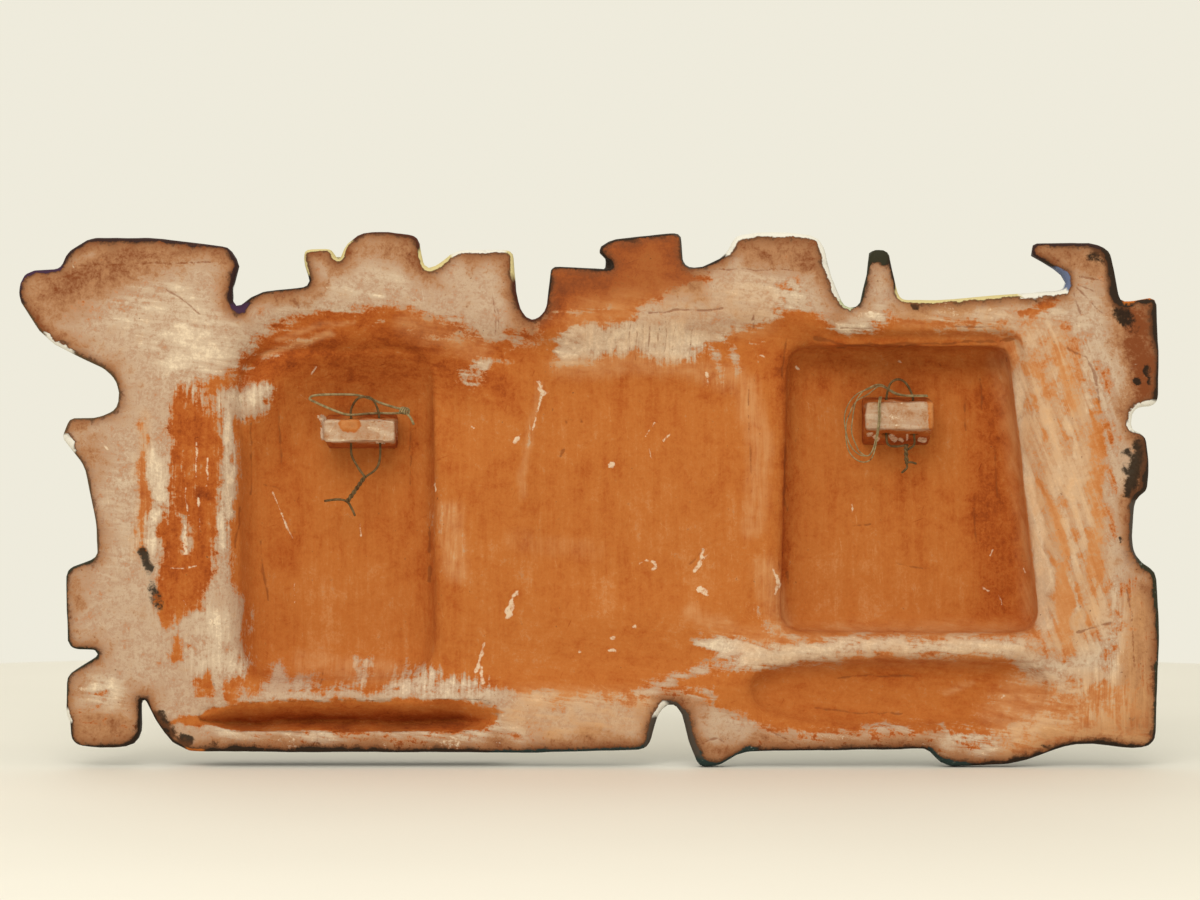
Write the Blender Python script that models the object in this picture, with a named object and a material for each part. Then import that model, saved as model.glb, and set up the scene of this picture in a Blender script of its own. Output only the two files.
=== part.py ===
"""A hand-built ceramic wall panel: a low relief of rounded blocks on a slab, hollowed out behind.

The back of the slab is the plane y = 0 and faces the wall, +Y. The front faces -Y, and +Z is up.
Places are given in millimetres as (across, up, depth), looking at the back of the panel:
across grows to the right, up grows upwards and depth grows from the back into the clay.
"""

import math

import bmesh
import bpy
from mathutils import Vector

MM = 0.001

# The slab and how finely its outline and edges are divided.
SLAB_THICKNESS = 12.0
SLAB_EDGE_ROUND = 2.5
BLOCK_EDGE_SLOPE = 2.5
ARC_STEP = math.radians(32)
STRAIGHT_TURN = math.radians(4)
MOST_TRIM = 0.49
SHARP_ANGLE = math.radians(35)
SPARE_RADIUS = 0.5
BLOCK_BACK = 5.0
CUTTER_REACH = 12.0
WELD = 0.01
TOUCH_GAP = 0.3

# The silhouette, clockwise from the nose at the left, in stretches of (across, up, corner radius).
TOP_LEFT_ARM = [
    (-306.5, -4, 7), (-304.5, 9.5, 8), (-285.5, 11, 3), (-282, 19, 6), (-270, 26, 9),
    (-238, 26, 40), (-201, 21.5, 5), (-195.5, 13, 6), (-199.5, -1, 12), (-198.5, -11, 2.6),
]
LEFT_ROOFS = [
    (-187, -1, 12), (-159.5, 2, 2.5), (-163.5, 13, 10), (-163.5, 20.5, 3), (-149.5, 21, 3),
    (-147.5, 15.5, 2.5), (-145, 15.5, 2.5), (-143, 22.5, 5), (-135, 28.5, 7), (-125, 30, 30),
    (-106, 27.5, 5), (-102.5, 9.5, 3), (-95, 14, 8), (-88, 20, 8), (-58.5, 20, 4),
]
MIDDLE_ROOFS = [
    (-57, -3, 20), (-54, -12, 8), (-49, -16, 7), (-42, -11, 8), (-39.5, 12, 3), (-9, 10, 2.6),
    (-8.5, 13.5, 3), (-18, 20, 3), (-9, 25, 8), (4, 26.5, 30), (25.5, 28.5, 3),
    (26.5, 12, 4), (34, 10.5, 8), (48, 16.5, 8), (53, 27, 6), (72, 29.5, 60),
    (96, 27, 9), (101.5, 6, 20), (107.5, -8.5, 4),
]
SPIRE_AND_BEAK = [
    (115, -8.5, 4), (118, 5, 30), (120, 20.5, 4), (129.5, 20.5, 4), (135, -4.8, 4),
    (156, -4.8, 40), (184, -2.4, 40), (219, 0.5, 3), (217.5, 8, 8), (201, 17.5, 3),
    (201.5, 23.5, 3), (232, 23.5, 12), (240.5, 20, 6), (243, 9, 20), (245.5, -5.8, 3),
]
RIGHT_SIDE = [
    (252, -5.5, 10), (263.5, -3.5, 3), (264.7, -30, 60), (264.5, -58.5, 5), (252, -58.5, 5),
    (250.7, -70, 3), (258.5, -72.5, 5), (260, -88, 30), (259, -100.5, 4), (252.5, -105, 7),
    (251, -127.5, 12), (254, -135.5, 8), (263.5, -141, 7), (265.3, -170, 80), (263, -228.5, 8),
]
BOTTOM_EDGE = [
    (250, -229.5, 20), (228, -227, 30), (215, -229.5, 30), (194, -237, 30), (158, -238.5, 7),
    (149, -229.6, 4), (65, -231, 30), (56, -231.5, 12), (44, -238.5, 7), (34.5, -239, 4),
    (29.5, -226, 20), (25.5, -210, 7), (20.5, -206.5, 4), (14.5, -211, 7), (9, -230, 6),
    (-50, -232, 60), (-215, -231.5, 60), (-226, -230.5, 12), (-236, -219, 30), (-243, -205, 2.6),
]
LEFT_FOOT = [
    (-245, -205, 2.6), (-245.5, -228, 8), (-262, -230, 30), (-280, -228, 6), (-280.3, -216, 4),
    (-282.5, -212, 4), (-282, -193, 6), (-266, -183, 2.6), (-267.5, -180.3, 2.6),
]
LEFT_SIDE = [
    (-281.5, -180, 5), (-282.5, -160, 60), (-282.5, -140, 5), (-266.5, -134, 4), (-267, -118, 20),
    (-271, -98, 30), (-273, -88, 10), (-284.3, -74, 3), (-280.5, -64.5, 3), (-266, -64, 12),
    (-256.5, -60, 6), (-255.5, -49, 8), (-261, -40.5, 10), (-273, -35, 30), (-293, -25, 20),
]
OUTLINE = (
    TOP_LEFT_ARM + LEFT_ROOFS + MIDDLE_ROOFS + SPIRE_AND_BEAK
    + RIGHT_SIDE + BOTTOM_EDGE + LEFT_FOOT + LEFT_SIDE
)

# Depth of the front face of each raised block, and its outline.
FRONT_BLOCKS = {
    "ground": (21, [
        (-211, -26, 6), (-191, -13, 6), (-162, -4, 6), (-105, -4, 6), (-76, -14, 8), (-57, -25, 6),
        (-40, -25, 6), (-28, -12, 8), (48, -8, 8), (96, -15, 8), (213, -13, 6), (223, -45, 10),
        (223, -170, 10), (215, -206, 6), (33, -203, 6), (10, -202, 6), (2, -206, 6), (-206, -207, 6),
    ]),
    "left_house": (44, [
        (-208, -34, 5), (-150, -12, 5), (-92, -34, 5), (-90, -204, 6), (-207, -204, 6),
    ]),
    "right_house": (46, [
        (68, -28, 5), (96, -19, 5), (202, -19, 5), (216, -30, 6), (219, -182, 6), (66, -182, 6),
    ]),
    "middle_house": (28, [(-60, -36, 5), (2, -26, 5), (60, -36, 5), (60, -166, 6), (-60, -166, 6)]),
    "left_quay": (36, [(-221, -198, 6), (-60, -198, 6), (-60, -228, 5), (-218, -228, 5)]),
    "right_quay": (26, [(48, -178, 6), (218, -178, 6), (219, -223, 6), (150, -225, 6), (48, -226, 6)]),
    "middle_quay": (24, [
        (-52, -172, 5), (44, -172, 5), (38, -200, 5), (2, -200, 5), (-2, -226, 5), (-52, -228, 5),
    ]),
    "arm_roof": (18, [
        (-301, -2, 6), (-282, 6, 6), (-270, 21, 6), (-206, 16, 6), (-207, -30, 8), (-248, -36, 8),
        (-288, -21, 8),
    ]),
    "west_wall": (20, [
        (-277, -70, 3), (-250, -68, 6), (-248, -46, 6), (-215, -42, 5), (-214, -128, 5),
        (-261, -128, 5), (-266, -92, 10),
    ]),
    "west_house": (25, [(-277, -146, 4), (-215, -136, 5), (-215, -175, 5), (-276, -175, 4)]),
    "foot_block": (20, [(-276, -196, 5), (-251, -192, 5), (-251, -222, 5), (-275, -222, 5)]),
    "thin_tower": (19, [(-160, 17, 3), (-151, 17, 3), (-149, -22, 3), (-162, -22, 3)]),
    "domed_tower": (25, [(-140, 18, 5), (-126, 26, 8), (-108, 23, 5), (-102, -24, 3), (-142, -24, 3)]),
    "flat_tower": (21, [(-89, 16, 4), (-62, 16, 4), (-60, -26, 3), (-92, -26, 3)]),
    "low_tower": (19, [(-36, 8, 3), (-16, 7, 3), (-14, -32, 3), (-38, -24, 3)]),
    "tall_tower": (26, [(-12, 19, 4), (21, 24, 4), (23, 5, 5), (26, -32, 4), (-12, -32, 4)]),
    "white_tower": (29, [(57, 22, 6), (92, 21, 8), (97, -4, 6), (97, -30, 4), (54, -30, 4)]),
    "spire": (18, [(121.5, 17, 3), (128, 17, 3), (131, -26, 3), (118.5, -26, 3)]),
    "east_roofs": (27, [(139, -9, 5), (184, -7, 5), (213, -5, 5), (213, -36, 5), (139, -36, 5)]),
    "beak_tower": (19, [
        (206, 20, 3), (236, 20, 6), (240, 0, 6), (241, -16, 5), (226, -60, 5), (224, 4, 6),
    ]),
    "east_tower": (25, [(247, -10, 4), (260, -8, 4), (260, -54, 5), (246, -56, 5), (230, -62, 5)]),
    "east_wall": (20, [(228, -78, 4), (254, -78, 4), (254, -95, 5), (246, -128, 5), (228, -128, 5)]),
    "east_house": (25, [(228, -140, 5), (258, -147, 6), (259, -222, 7), (226, -222, 5)]),
}

# Each hollow in the back: its depth, how far its edges slope or curve in, and its outline.
HOLLOWS = {
    "tray": (10, 9.5, [
        (-203, -30, 10), (-182, -15, 14), (-150, -9, 30), (-112, -12, 20), (-78, -20, 20),
        (-40, -24, 20), (10, -20, 30), (70, -14, 20), (108, -20, 10), (196, -20, 10),
        (210, -100, 30), (213, -174, 8), (60, -176, 10), (44, -196, 12), (0, -198, 20),
        (-60, -200, 12), (-196, -200, 12), (-204, -120, 60),
    ]),
    "left_pocket": (32, 12, [(-197, -30, 16), (-99, -28, 16), (-98, -194, 16), (-194, -196, 16)]),
    "right_pocket": (33, 7, [(80, -28, 8), (191, -28, 8), (207, -172, 9), (76, -172, 9)]),
    "dish": (15, 4.8, [(-50, -40, 22), (56, -40, 20), (58, -156, 24), (-48, -156, 24)]),
    "left_channel": (26, 3.5, [
        (-217, -210, 6), (-180, -206, 20), (-72, -205, 6), (-63, -212.5, 6), (-74, -221, 6),
        (-200, -221, 10), (-214, -219, 6),
    ]),
    "right_hollow": (15, 6, [
        (54, -196, 12), (80, -187, 16), (150, -185, 30), (202, -187, 14), (213, -199, 10),
        (200, -217, 14), (120, -219, 40), (70, -214, 16),
    ]),
}

# The two pierced lugs: middle, width, floor depth, side profile of (depth, up), and hole places.
LUG_BACK = 6.0
LUG_ROUND = 1.4
LEFT_LUG_FRONT = 32.0 - TOUCH_GAP
RIGHT_LUG_FRONT = 33.0 - TOUCH_GAP
HOLE_RADIUS = 2.4
HOLE_SIDES = 16
DRILL_LENGTH = 80.0
HOLE_DEPTH = 16.0
LEFT_LUG = (-135.8, -70.5)
LEFT_LUG_WIDTH = 35.5
LEFT_LUG_PROFILE = [(LUG_BACK, 5), (LEFT_LUG_FRONT, 8.5), (LEFT_LUG_FRONT, -9), (LUG_BACK, -5)]
LEFT_HOLES = (-4.8, 9.6)
RIGHT_LUG = (135.5, -62.8)
RIGHT_LUG_WIDTH = 34.0
RIGHT_LUG_PROFILE = [(LUG_BACK, 6.7), (RIGHT_LUG_FRONT, 9.5), (RIGHT_LUG_FRONT, -15), (LUG_BACK, -6.7)]
RIGHT_HOLES = (-5.9, 8.0)

# Iron wire. Routes are (across, up, depth) from the middle of their lug.
FIXING_WIRE = 1.3
TWISTED_WIRE = 2.5
LOOP_WIRE = 1.5
FINE_LOOP_WIRE = 1.3
KNOT_RADIUS = 2.0
KNOT_SEGMENTS = 10
KNOT_RINGS = 6
WIRE_BEVEL_STEPS = 1
WIRE_POINT_STEPS = 2
LEFT_FIXING = [
    (2.3, -23.5, 14), (-1.5, -18, 14), (-4.6, -12, 15.5), (-4.8, -4, 16), (-4.8, 5, 16),
    (-4.7, 11, 15), (-1, 16.4, 13.5), (5.2, 16.6, 13.5), (8.6, 11, 15), (9.4, 5, 16),
    (9.7, -4, 16), (9.8, -13, 15.5), (8, -19, 14.5), (2.4, -23.4, 14),
]
LEFT_TWIST = [(2.6, -22.6, 14), (-2.2, -29.5, 13.5), (-6.8, -36, 13)]
LEFT_ENDS = [(-18.2, -35.4, 12), (-11, -34.6, 12.6), (-6.6, -35.8, 13), (-4.2, -39.4, 13), (-2.6, -43, 13)]
LEFT_LOOP = [
    (22.8, 9.2, 11.5), (16, 8.8, 18), (10.5, 8.9, 19.5), (4, 8.7, 18), (-1, 8.2, 13), (-7, 8.2, 9.5),
    (-14.3, 10.8, 8.5), (-22, 14.2, 9), (-25.4, 16.2, 11.5), (-22, 18, 14.5), (-7, 18.4, 18),
    (1, 17.4, 18.5), (10.8, 13.8, 19), (18, 11.6, 16), (23.4, 10.6, 11.8),
]
LEFT_TAIL = [(23, 9.4, 11), (25.4, 6.6, 10.6), (27.2, 3, 10.2)]
RIGHT_FIXING = [
    (4, -15, 16), (-1, -15.6, 16.5), (-5, -14.5, 16.2), (-5.9, -9, 16), (-5.9, 4, 16),
    (-5.7, 10.5, 15), (-3.8, 16.4, 13.6), (0, 18.2, 13), (3.8, 16.2, 13.6), (7, 10.5, 15),
    (7.9, 4, 16), (8.1, -9, 16), (8.2, -14.5, 16.2), (5, -17.2, 16),
]
RIGHT_TWIST = [(4.2, -14.4, 16), (4, -19, 15.4), (4.3, -24.3, 15)]
RIGHT_ENDS = [(9.3, -24.4, 14.4), (6.6, -23.6, 14.8), (4.4, -24, 15), (4.4, -26.4, 15), (1.6, -29, 14.6)]
RIGHT_LOOP = [
    (14.5, 9.8, 10), (5.5, 9.9, 10), (1, 10.4, 12.5), (-2.2, 11.6, 16.5), (-9, 15.2, 17),
    (-15, 12.6, 14), (-22, 7, 10), (-25.2, -1.8, 7.5), (-25.6, -10, 6), (-23.5, -17.6, 5),
    (-19.4, -21.4, 4.6), (-15.5, -21.4, 4.2), (-13, -17.6, 3.8), (-11.4, -11, 3.6),
    (-10.4, -2, 3.6), (-10.5, 4.6, 4), (-10, 8.4, 6), (-9.6, 9.8, 8.5),
]

CLAY_COLOUR = (0.42, 0.16, 0.06)
SLIP_COLOUR = (0.55, 0.39, 0.29)
DARK_IRON_COLOUR = (0.045, 0.035, 0.03)
GREY_IRON_COLOUR = (0.09, 0.085, 0.08)


def clear_scene():
    for obj in list(bpy.data.objects):
        bpy.data.objects.remove(obj, do_unlink=True)


def new_collection(name):
    collection = bpy.data.collections.new(name)
    bpy.context.scene.collection.children.link(collection)
    return collection


def new_material(name, colour, roughness, metallic):
    material = bpy.data.materials.new(name)
    material.use_nodes = True
    material.diffuse_color = (*colour, 1.0)
    shader = material.node_tree.nodes["Principled BSDF"]
    shader.inputs["Base Color"].default_value = (*colour, 1.0)
    shader.inputs["Roughness"].default_value = roughness
    shader.inputs["Metallic"].default_value = metallic
    return material


def place(across, up, depth):
    """A point of the panel, seen from behind in millimetres, as a world position in metres."""
    return Vector((-across, -depth, up)) * MM


def rounded(corners, least):
    """The closed outline through these corners, each turned by an arc of its own or the least radius."""
    points = []
    for index, (across, up, radius) in enumerate(corners):
        here = Vector((across, up))
        back = Vector(corners[index - 1][:2]) - here
        ahead = Vector(corners[(index + 1) % len(corners)][:2]) - here
        turn = math.pi - back.angle(ahead)
        if turn < STRAIGHT_TURN:
            points.append(here)
            continue
        full = max(radius, least) * math.tan(turn / 2)
        trim = min(full, MOST_TRIM * back.length, MOST_TRIM * ahead.length)
        start = here + back.normalized() * trim
        inward = (back.normalized() + ahead.normalized()).normalized()
        centre = here + inward * trim / math.sin(turn / 2)
        sign = math.copysign(1, ahead.cross(back))
        steps = max(1, round(turn / ARC_STEP))
        for step in range(steps + 1):
            angle = sign * turn * step / steps
            spoke = start - centre
            points.append(centre + Vector((
                spoke.x * math.cos(angle) - spoke.y * math.sin(angle),
                spoke.x * math.sin(angle) + spoke.y * math.cos(angle),
            )))
    return points


def as_mesh(obj, collection):
    """The same object as a closed mesh, which modifiers can cut and join."""
    bpy.context.view_layer.update()
    graph = bpy.context.evaluated_depsgraph_get()
    mesh = bpy.data.meshes.new_from_object(obj.evaluated_get(graph))
    shape = bmesh.new()
    shape.from_mesh(mesh)
    bmesh.ops.remove_doubles(shape, verts=shape.verts, dist=WELD * MM)
    bmesh.ops.recalc_face_normals(shape, faces=shape.faces)
    shape.to_mesh(mesh)
    shape.free()
    made = bpy.data.objects.new(obj.name + "_mesh", mesh)
    made.matrix_world = obj.matrix_world.copy()
    curve = obj.data
    bpy.data.objects.remove(obj, do_unlink=True)
    bpy.data.curves.remove(curve)
    collection.objects.link(made)
    return made


def flat_curve(name, outline, thickness, edge, steps):
    """A filled flat curve of this thickness, whose rounded or sloped edges stay inside the outline."""
    curve = bpy.data.curves.new(name, "CURVE")
    curve.dimensions = "2D"
    curve.fill_mode = "BOTH"
    curve.extrude = (thickness / 2 - edge) * MM
    curve.bevel_depth = edge * MM
    curve.bevel_resolution = steps
    curve.offset = -edge * MM
    spline = curve.splines.new("POLY")
    spline.points.add(len(outline) - 1)
    for point, (x, y) in zip(spline.points, outline):
        point.co = (x * MM, y * MM, 0, 1)
    spline.use_cyclic_u = True
    obj = bpy.data.objects.new(name, curve)
    bpy.context.scene.collection.objects.link(obj)
    return obj


def plate(name, corners, back, front, edge, steps, collection):
    """A plate parallel to the back, from one depth to another."""
    outline = [(-point.x, point.y) for point in rounded(corners, edge + SPARE_RADIUS)]
    obj = flat_curve(name, outline, front - back, edge, steps)
    obj.location = place(0, 0, (back + front) / 2)
    obj.rotation_euler = (math.radians(90), 0, 0)
    return as_mesh(obj, collection)


def hide(obj):
    obj.hide_render = True
    obj.display_type = "WIRE"


def take_primitive(collection):
    """The primitive made last, moved to this collection as a hidden helper."""
    obj = bpy.context.object
    for holder in list(obj.users_collection):
        holder.objects.unlink(obj)
    collection.objects.link(obj)
    hide(obj)


def boolean(obj, name, operation, collection):
    modifier = obj.modifiers.new(name, "BOOLEAN")
    modifier.operation = operation
    modifier.solver = "EXACT"
    modifier.operand_type = "COLLECTION"
    modifier.collection = collection


def finish(obj, name, material, collection):
    """Bakes the modifiers in, names the piece and moves it to the panel's collection."""
    bpy.context.view_layer.update()
    graph = bpy.context.evaluated_depsgraph_get()
    mesh = bpy.data.meshes.new_from_object(obj.evaluated_get(graph))
    mesh.name = name
    mesh.materials.clear()
    mesh.materials.append(material)
    mesh.shade_smooth()
    mesh.set_sharp_from_angle(angle=SHARP_ANGLE)
    made = bpy.data.objects.new(name, mesh)
    made.matrix_world = obj.matrix_world.copy()
    bpy.data.objects.remove(obj, do_unlink=True)
    collection.objects.link(made)
    return made


def relief_panel(panel, clay):
    """The slab, its raised front blocks, and the hollows scooped from its back."""
    slab = plate("slab", OUTLINE, 0, SLAB_THICKNESS, SLAB_EDGE_ROUND, 1, panel)
    raised = new_collection("raised_blocks")
    for name, (front, corners) in FRONT_BLOCKS.items():
        hide(plate(name, corners, BLOCK_BACK, front, BLOCK_EDGE_SLOPE, 0, raised))
    scooped = new_collection("scooped_hollows")
    for name, (depth, slope, corners) in HOLLOWS.items():
        hide(plate(name, corners, -CUTTER_REACH - slope, depth, slope, 1, scooped))
    boolean(slab, "raised", "UNION", raised)
    boolean(slab, "scooped", "DIFFERENCE", scooped)
    finish(slab, "relief_panel", clay, panel)


def lug(name, middle, width, profile, holes, material, panel):
    """A clay block bonded in its pocket, with two upright holes for the fixing wire."""
    obj = flat_curve(name + "_block", profile, width, LUG_ROUND, 1)
    obj.location = place(middle[0], middle[1], 0)
    obj.rotation_euler = (math.radians(90), 0, math.radians(-90))
    block = as_mesh(obj, panel)
    drills = new_collection(name + "_drills")
    for across in holes:
        bpy.ops.mesh.primitive_cylinder_add(
            vertices=HOLE_SIDES, radius=HOLE_RADIUS * MM, depth=DRILL_LENGTH * MM,
            location=place(middle[0] + across, middle[1], HOLE_DEPTH),
        )
        take_primitive(drills)
    boolean(block, "drilled", "DIFFERENCE", drills)
    finish(block, name, material, panel)


def wire(name, middle, route, thickness, collection, closed=False):
    """A round wire along a route through its own points."""
    curve = bpy.data.curves.new(name, "CURVE")
    curve.dimensions = "3D"
    curve.bevel_depth = thickness / 2 * MM
    curve.bevel_resolution = WIRE_BEVEL_STEPS
    curve.resolution_u = WIRE_POINT_STEPS
    curve.use_fill_caps = not closed
    spline = curve.splines.new("BEZIER")
    spline.bezier_points.add(len(route) - 1)
    for point, (across, up, depth) in zip(spline.bezier_points, route):
        point.co = place(middle[0] + across, middle[1] + up, depth)
        point.handle_left_type = "AUTO"
        point.handle_right_type = "AUTO"
    spline.use_cyclic_u = closed
    obj = bpy.data.objects.new(name, curve)
    bpy.context.scene.collection.objects.link(obj)
    return as_mesh(obj, collection)


def joined_wires(name, base, extras, material, panel):
    """One body from a wire and the pieces that are twisted or knotted to it."""
    if extras.objects:
        for extra in extras.objects:
            hide(extra)
        boolean(base, "twisted_on", "UNION", extras)
    finish(base, name, material, panel)


def fixing_wire(name, middle, route, twist, ends, iron, panel):
    """The wire through both holes of a lug: an arch above, a twisted tail with two ends below."""
    base = wire(name + "_arch", middle, route, FIXING_WIRE, panel)
    extras = new_collection(name + "_tail")
    wire(name + "_twist", middle, twist, TWISTED_WIRE, extras)
    wire(name + "_ends", middle, ends, FIXING_WIRE, extras)
    joined_wires(name, base, extras, iron, panel)


def left_hanging_loop(iron, panel):
    """A narrow flat loop through the left arch, knotted at its right end."""
    base = wire("left_loop", LEFT_LUG, LEFT_LOOP, LOOP_WIRE, panel)
    extras = new_collection("left_loop_knot")
    wire("left_loop_tail", LEFT_LUG, LEFT_TAIL, LOOP_WIRE, extras)
    across, up, depth = LEFT_TAIL[0]
    bpy.ops.mesh.primitive_uv_sphere_add(
        segments=KNOT_SEGMENTS, ring_count=KNOT_RINGS, radius=KNOT_RADIUS * MM,
        location=place(LEFT_LUG[0] + across, LEFT_LUG[1] + up, depth),
    )
    take_primitive(extras)
    joined_wires("hanging_loop_left", base, extras, iron, panel)


def right_hanging_loop(iron, panel):
    """A slack drop-shaped loop of fine wire that hangs down beside the right lug."""
    base = wire("right_loop", RIGHT_LUG, RIGHT_LOOP, FINE_LOOP_WIRE, panel)
    joined_wires("hanging_loop_right", base, new_collection("right_loop_extras"), iron, panel)


def build():
    clear_scene()
    panel = new_collection("ceramic_wall_panel")
    clay = new_material("bare_and_slipped_clay", CLAY_COLOUR, 0.85, 0.0)
    slip = new_material("slipped_lug_clay", SLIP_COLOUR, 0.9, 0.0)
    dark_iron = new_material("dark_iron_wire", DARK_IRON_COLOUR, 0.6, 0.6)
    grey_iron = new_material("grey_iron_wire", GREY_IRON_COLOUR, 0.5, 0.7)
    relief_panel(panel, clay)
    lug("hanging_lug_left", LEFT_LUG, LEFT_LUG_WIDTH, LEFT_LUG_PROFILE, LEFT_HOLES, slip, panel)
    lug("hanging_lug_right", RIGHT_LUG, RIGHT_LUG_WIDTH, RIGHT_LUG_PROFILE, RIGHT_HOLES, slip, panel)
    fixing_wire("lug_wire_left", LEFT_LUG, LEFT_FIXING, LEFT_TWIST, LEFT_ENDS, dark_iron, panel)
    fixing_wire("lug_wire_right", RIGHT_LUG, RIGHT_FIXING, RIGHT_TWIST, RIGHT_ENDS, dark_iron, panel)
    left_hanging_loop(grey_iron, panel)
    right_hanging_loop(grey_iron, panel)


build()
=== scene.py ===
import math

import bmesh
import bpy
import numpy as np
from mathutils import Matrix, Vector
from mathutils.bvhtree import BVHTree
from mathutils.kdtree import KDTree


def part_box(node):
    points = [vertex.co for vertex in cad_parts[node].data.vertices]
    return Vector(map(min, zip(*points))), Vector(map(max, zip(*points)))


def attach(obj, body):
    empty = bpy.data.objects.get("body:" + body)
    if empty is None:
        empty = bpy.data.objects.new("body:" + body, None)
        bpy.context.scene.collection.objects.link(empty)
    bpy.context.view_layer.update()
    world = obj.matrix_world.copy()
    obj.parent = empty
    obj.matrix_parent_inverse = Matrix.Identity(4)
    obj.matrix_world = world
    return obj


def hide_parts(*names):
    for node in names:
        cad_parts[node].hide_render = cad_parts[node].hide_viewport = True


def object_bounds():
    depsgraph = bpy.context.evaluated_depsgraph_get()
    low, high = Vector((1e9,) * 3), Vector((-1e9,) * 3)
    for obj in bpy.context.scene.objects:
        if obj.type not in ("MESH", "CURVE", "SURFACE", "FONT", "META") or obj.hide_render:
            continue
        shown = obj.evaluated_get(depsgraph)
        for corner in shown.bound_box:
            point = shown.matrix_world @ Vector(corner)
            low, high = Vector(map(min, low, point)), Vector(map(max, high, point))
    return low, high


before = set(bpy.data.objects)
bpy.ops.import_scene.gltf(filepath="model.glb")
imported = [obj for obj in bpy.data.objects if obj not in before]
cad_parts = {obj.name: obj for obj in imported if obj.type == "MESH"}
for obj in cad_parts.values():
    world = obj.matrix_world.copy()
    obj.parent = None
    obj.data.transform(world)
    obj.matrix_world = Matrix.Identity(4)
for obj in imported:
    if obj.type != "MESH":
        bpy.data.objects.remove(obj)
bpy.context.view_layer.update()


# ---- Camera, light and table ----
# The panel stands on its lower edge on a pale table and is seen square on from behind, with a
# long lens. The room is an even cream. A broad soft light hangs high behind the panel, on the
# viewer's side, and a weaker one in front of it.
MM = 0.001
CREAM_ROOM = (0.86, 0.83, 0.715, 1)
LAMP_WHITE = (1.0, 0.965, 0.90)
LENS = 96.0
CAMERA_AWAY = 1.6
CAMERA_ASIDE = -5.5 * MM
CAMERA_RAISED = 24.5 * MM
CREAM_TABLE = (0.775, 0.75, 0.685, 1)
PALE_TABLE = (0.805, 0.78, 0.715, 1)
low_corner, high_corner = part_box("relief_panel")
panel_middle = (low_corner + high_corner) / 2
table_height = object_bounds()[0][2]

camera = bpy.data.objects.new("camera", bpy.data.cameras.new("camera"))
camera.data.lens = LENS
camera.location = (panel_middle.x + CAMERA_ASIDE, CAMERA_AWAY, panel_middle.z + CAMERA_RAISED)
camera.rotation_euler = (math.radians(90), 0, math.radians(180))
bpy.context.collection.objects.link(camera)
bpy.context.scene.camera = camera
bpy.context.scene.view_settings.view_transform = "Standard"


def soft_light(name, place, width, height, power):
    """A rectangular studio light that faces the panel."""
    lamp = bpy.data.lights.new(name, "AREA")
    lamp.shape = "RECTANGLE"
    lamp.size = width
    lamp.size_y = height
    lamp.energy = power
    lamp.color = LAMP_WHITE
    light = bpy.data.objects.new(name, lamp)
    light.location = place
    light.rotation_euler = (panel_middle - light.location).to_track_quat("-Z", "Y").to_euler()
    bpy.context.collection.objects.link(light)


soft_light("light_above_back", Vector((0.25, 1.6, 1.05)), 1.4, 0.8, 17)
soft_light("light_above_front", Vector((0.5, -1.6, 1.3)), 1.4, 0.8, 3.5)

room = bpy.data.worlds.new("cream_room")
room.use_nodes = True
room.node_tree.nodes["Background"].inputs["Color"].default_value = CREAM_ROOM
room.node_tree.nodes["Background"].inputs["Strength"].default_value = 1.0
bpy.context.scene.world = room


NOISE_SPREAD = 3.6


class Shade:
    """One socket of a finish. Arithmetic on it adds Math nodes, and node() adds any other node."""

    def __init__(self, socket):
        self.socket = socket

    def node(self, kind, settings, inputs, output=0):
        tree = self.socket.id_data
        made = tree.nodes.new(kind)
        for name, value in settings.items():
            setattr(made, name, value)
        for name, value in inputs.items():
            if isinstance(value, Shade):
                tree.links.new(value.socket, made.inputs[name])
            else:
                made.inputs[name].default_value = value
        return Shade(made.outputs[output])

    def math(self, operation, *others):
        values = dict(enumerate((self, *others)))
        return self.node("ShaderNodeMath", {"operation": operation}, values)

    def __add__(self, other):
        return self.math("ADD", other)

    def __mul__(self, other):
        return self.math("MULTIPLY", other)

    def __sub__(self, other):
        return self.math("SUBTRACT", other)

    def __rsub__(self, other):
        return self.node("ShaderNodeMath", {"operation": "SUBTRACT"}, {0: other, 1: self})

    __radd__ = __add__
    __rmul__ = __mul__

    def rise(self, low, high):
        """0 below low, 1 above high, and a smooth rise between them; low may be above high."""
        return self.node(
            "ShaderNodeMapRange", {"interpolation_type": "SMOOTHSTEP"},
            {"Value": self, "From Min": low, "From Max": high},
        )

    def tinted(self, under, over):
        """The colour under where this is 0 and the colour over where this is 1."""
        return self.node("ShaderNodeMix", {"data_type": "RGBA"}, {0: self, 6: under, 7: over}, 2)

    def grain(self, spans, seed, detail=3, rough=0.55, warp=0.0):
        """Noise here, mostly from -1 to 1, whose lumps are this many millimetres along each axis."""
        scaled = self.node(
            "ShaderNodeVectorMath", {"operation": "MULTIPLY_ADD"},
            {0: self, 1: [1000 / span for span in spans], 2: (seed * 3.1, seed * 1.7, seed * 2.3)},
        )
        noise = self.node(
            "ShaderNodeTexNoise", {},
            {"Vector": scaled, "Scale": 1.0, "Detail": detail, "Roughness": rough, "Distortion": warp},
        )
        return noise * NOISE_SPREAD - NOISE_SPREAD / 2


def new_finish(name):
    """A new material, as its Principled shader and the place on the piece as a Shade."""
    finish = bpy.data.materials.new(name)
    finish.use_nodes = True
    shader = finish.node_tree.nodes["Principled BSDF"]
    start = Shade(shader.inputs["Base Color"])
    place = start.node("ShaderNodeTexCoord", {}, {}, "Object")
    return finish, shader, place


def feed(shader, **sources):
    """Links each Shade to the shader socket of that name, with _ for a space."""
    for name, source in sources.items():
        shader.id_data.links.new(source.socket, shader.inputs[name.replace("_", " ")])


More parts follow.
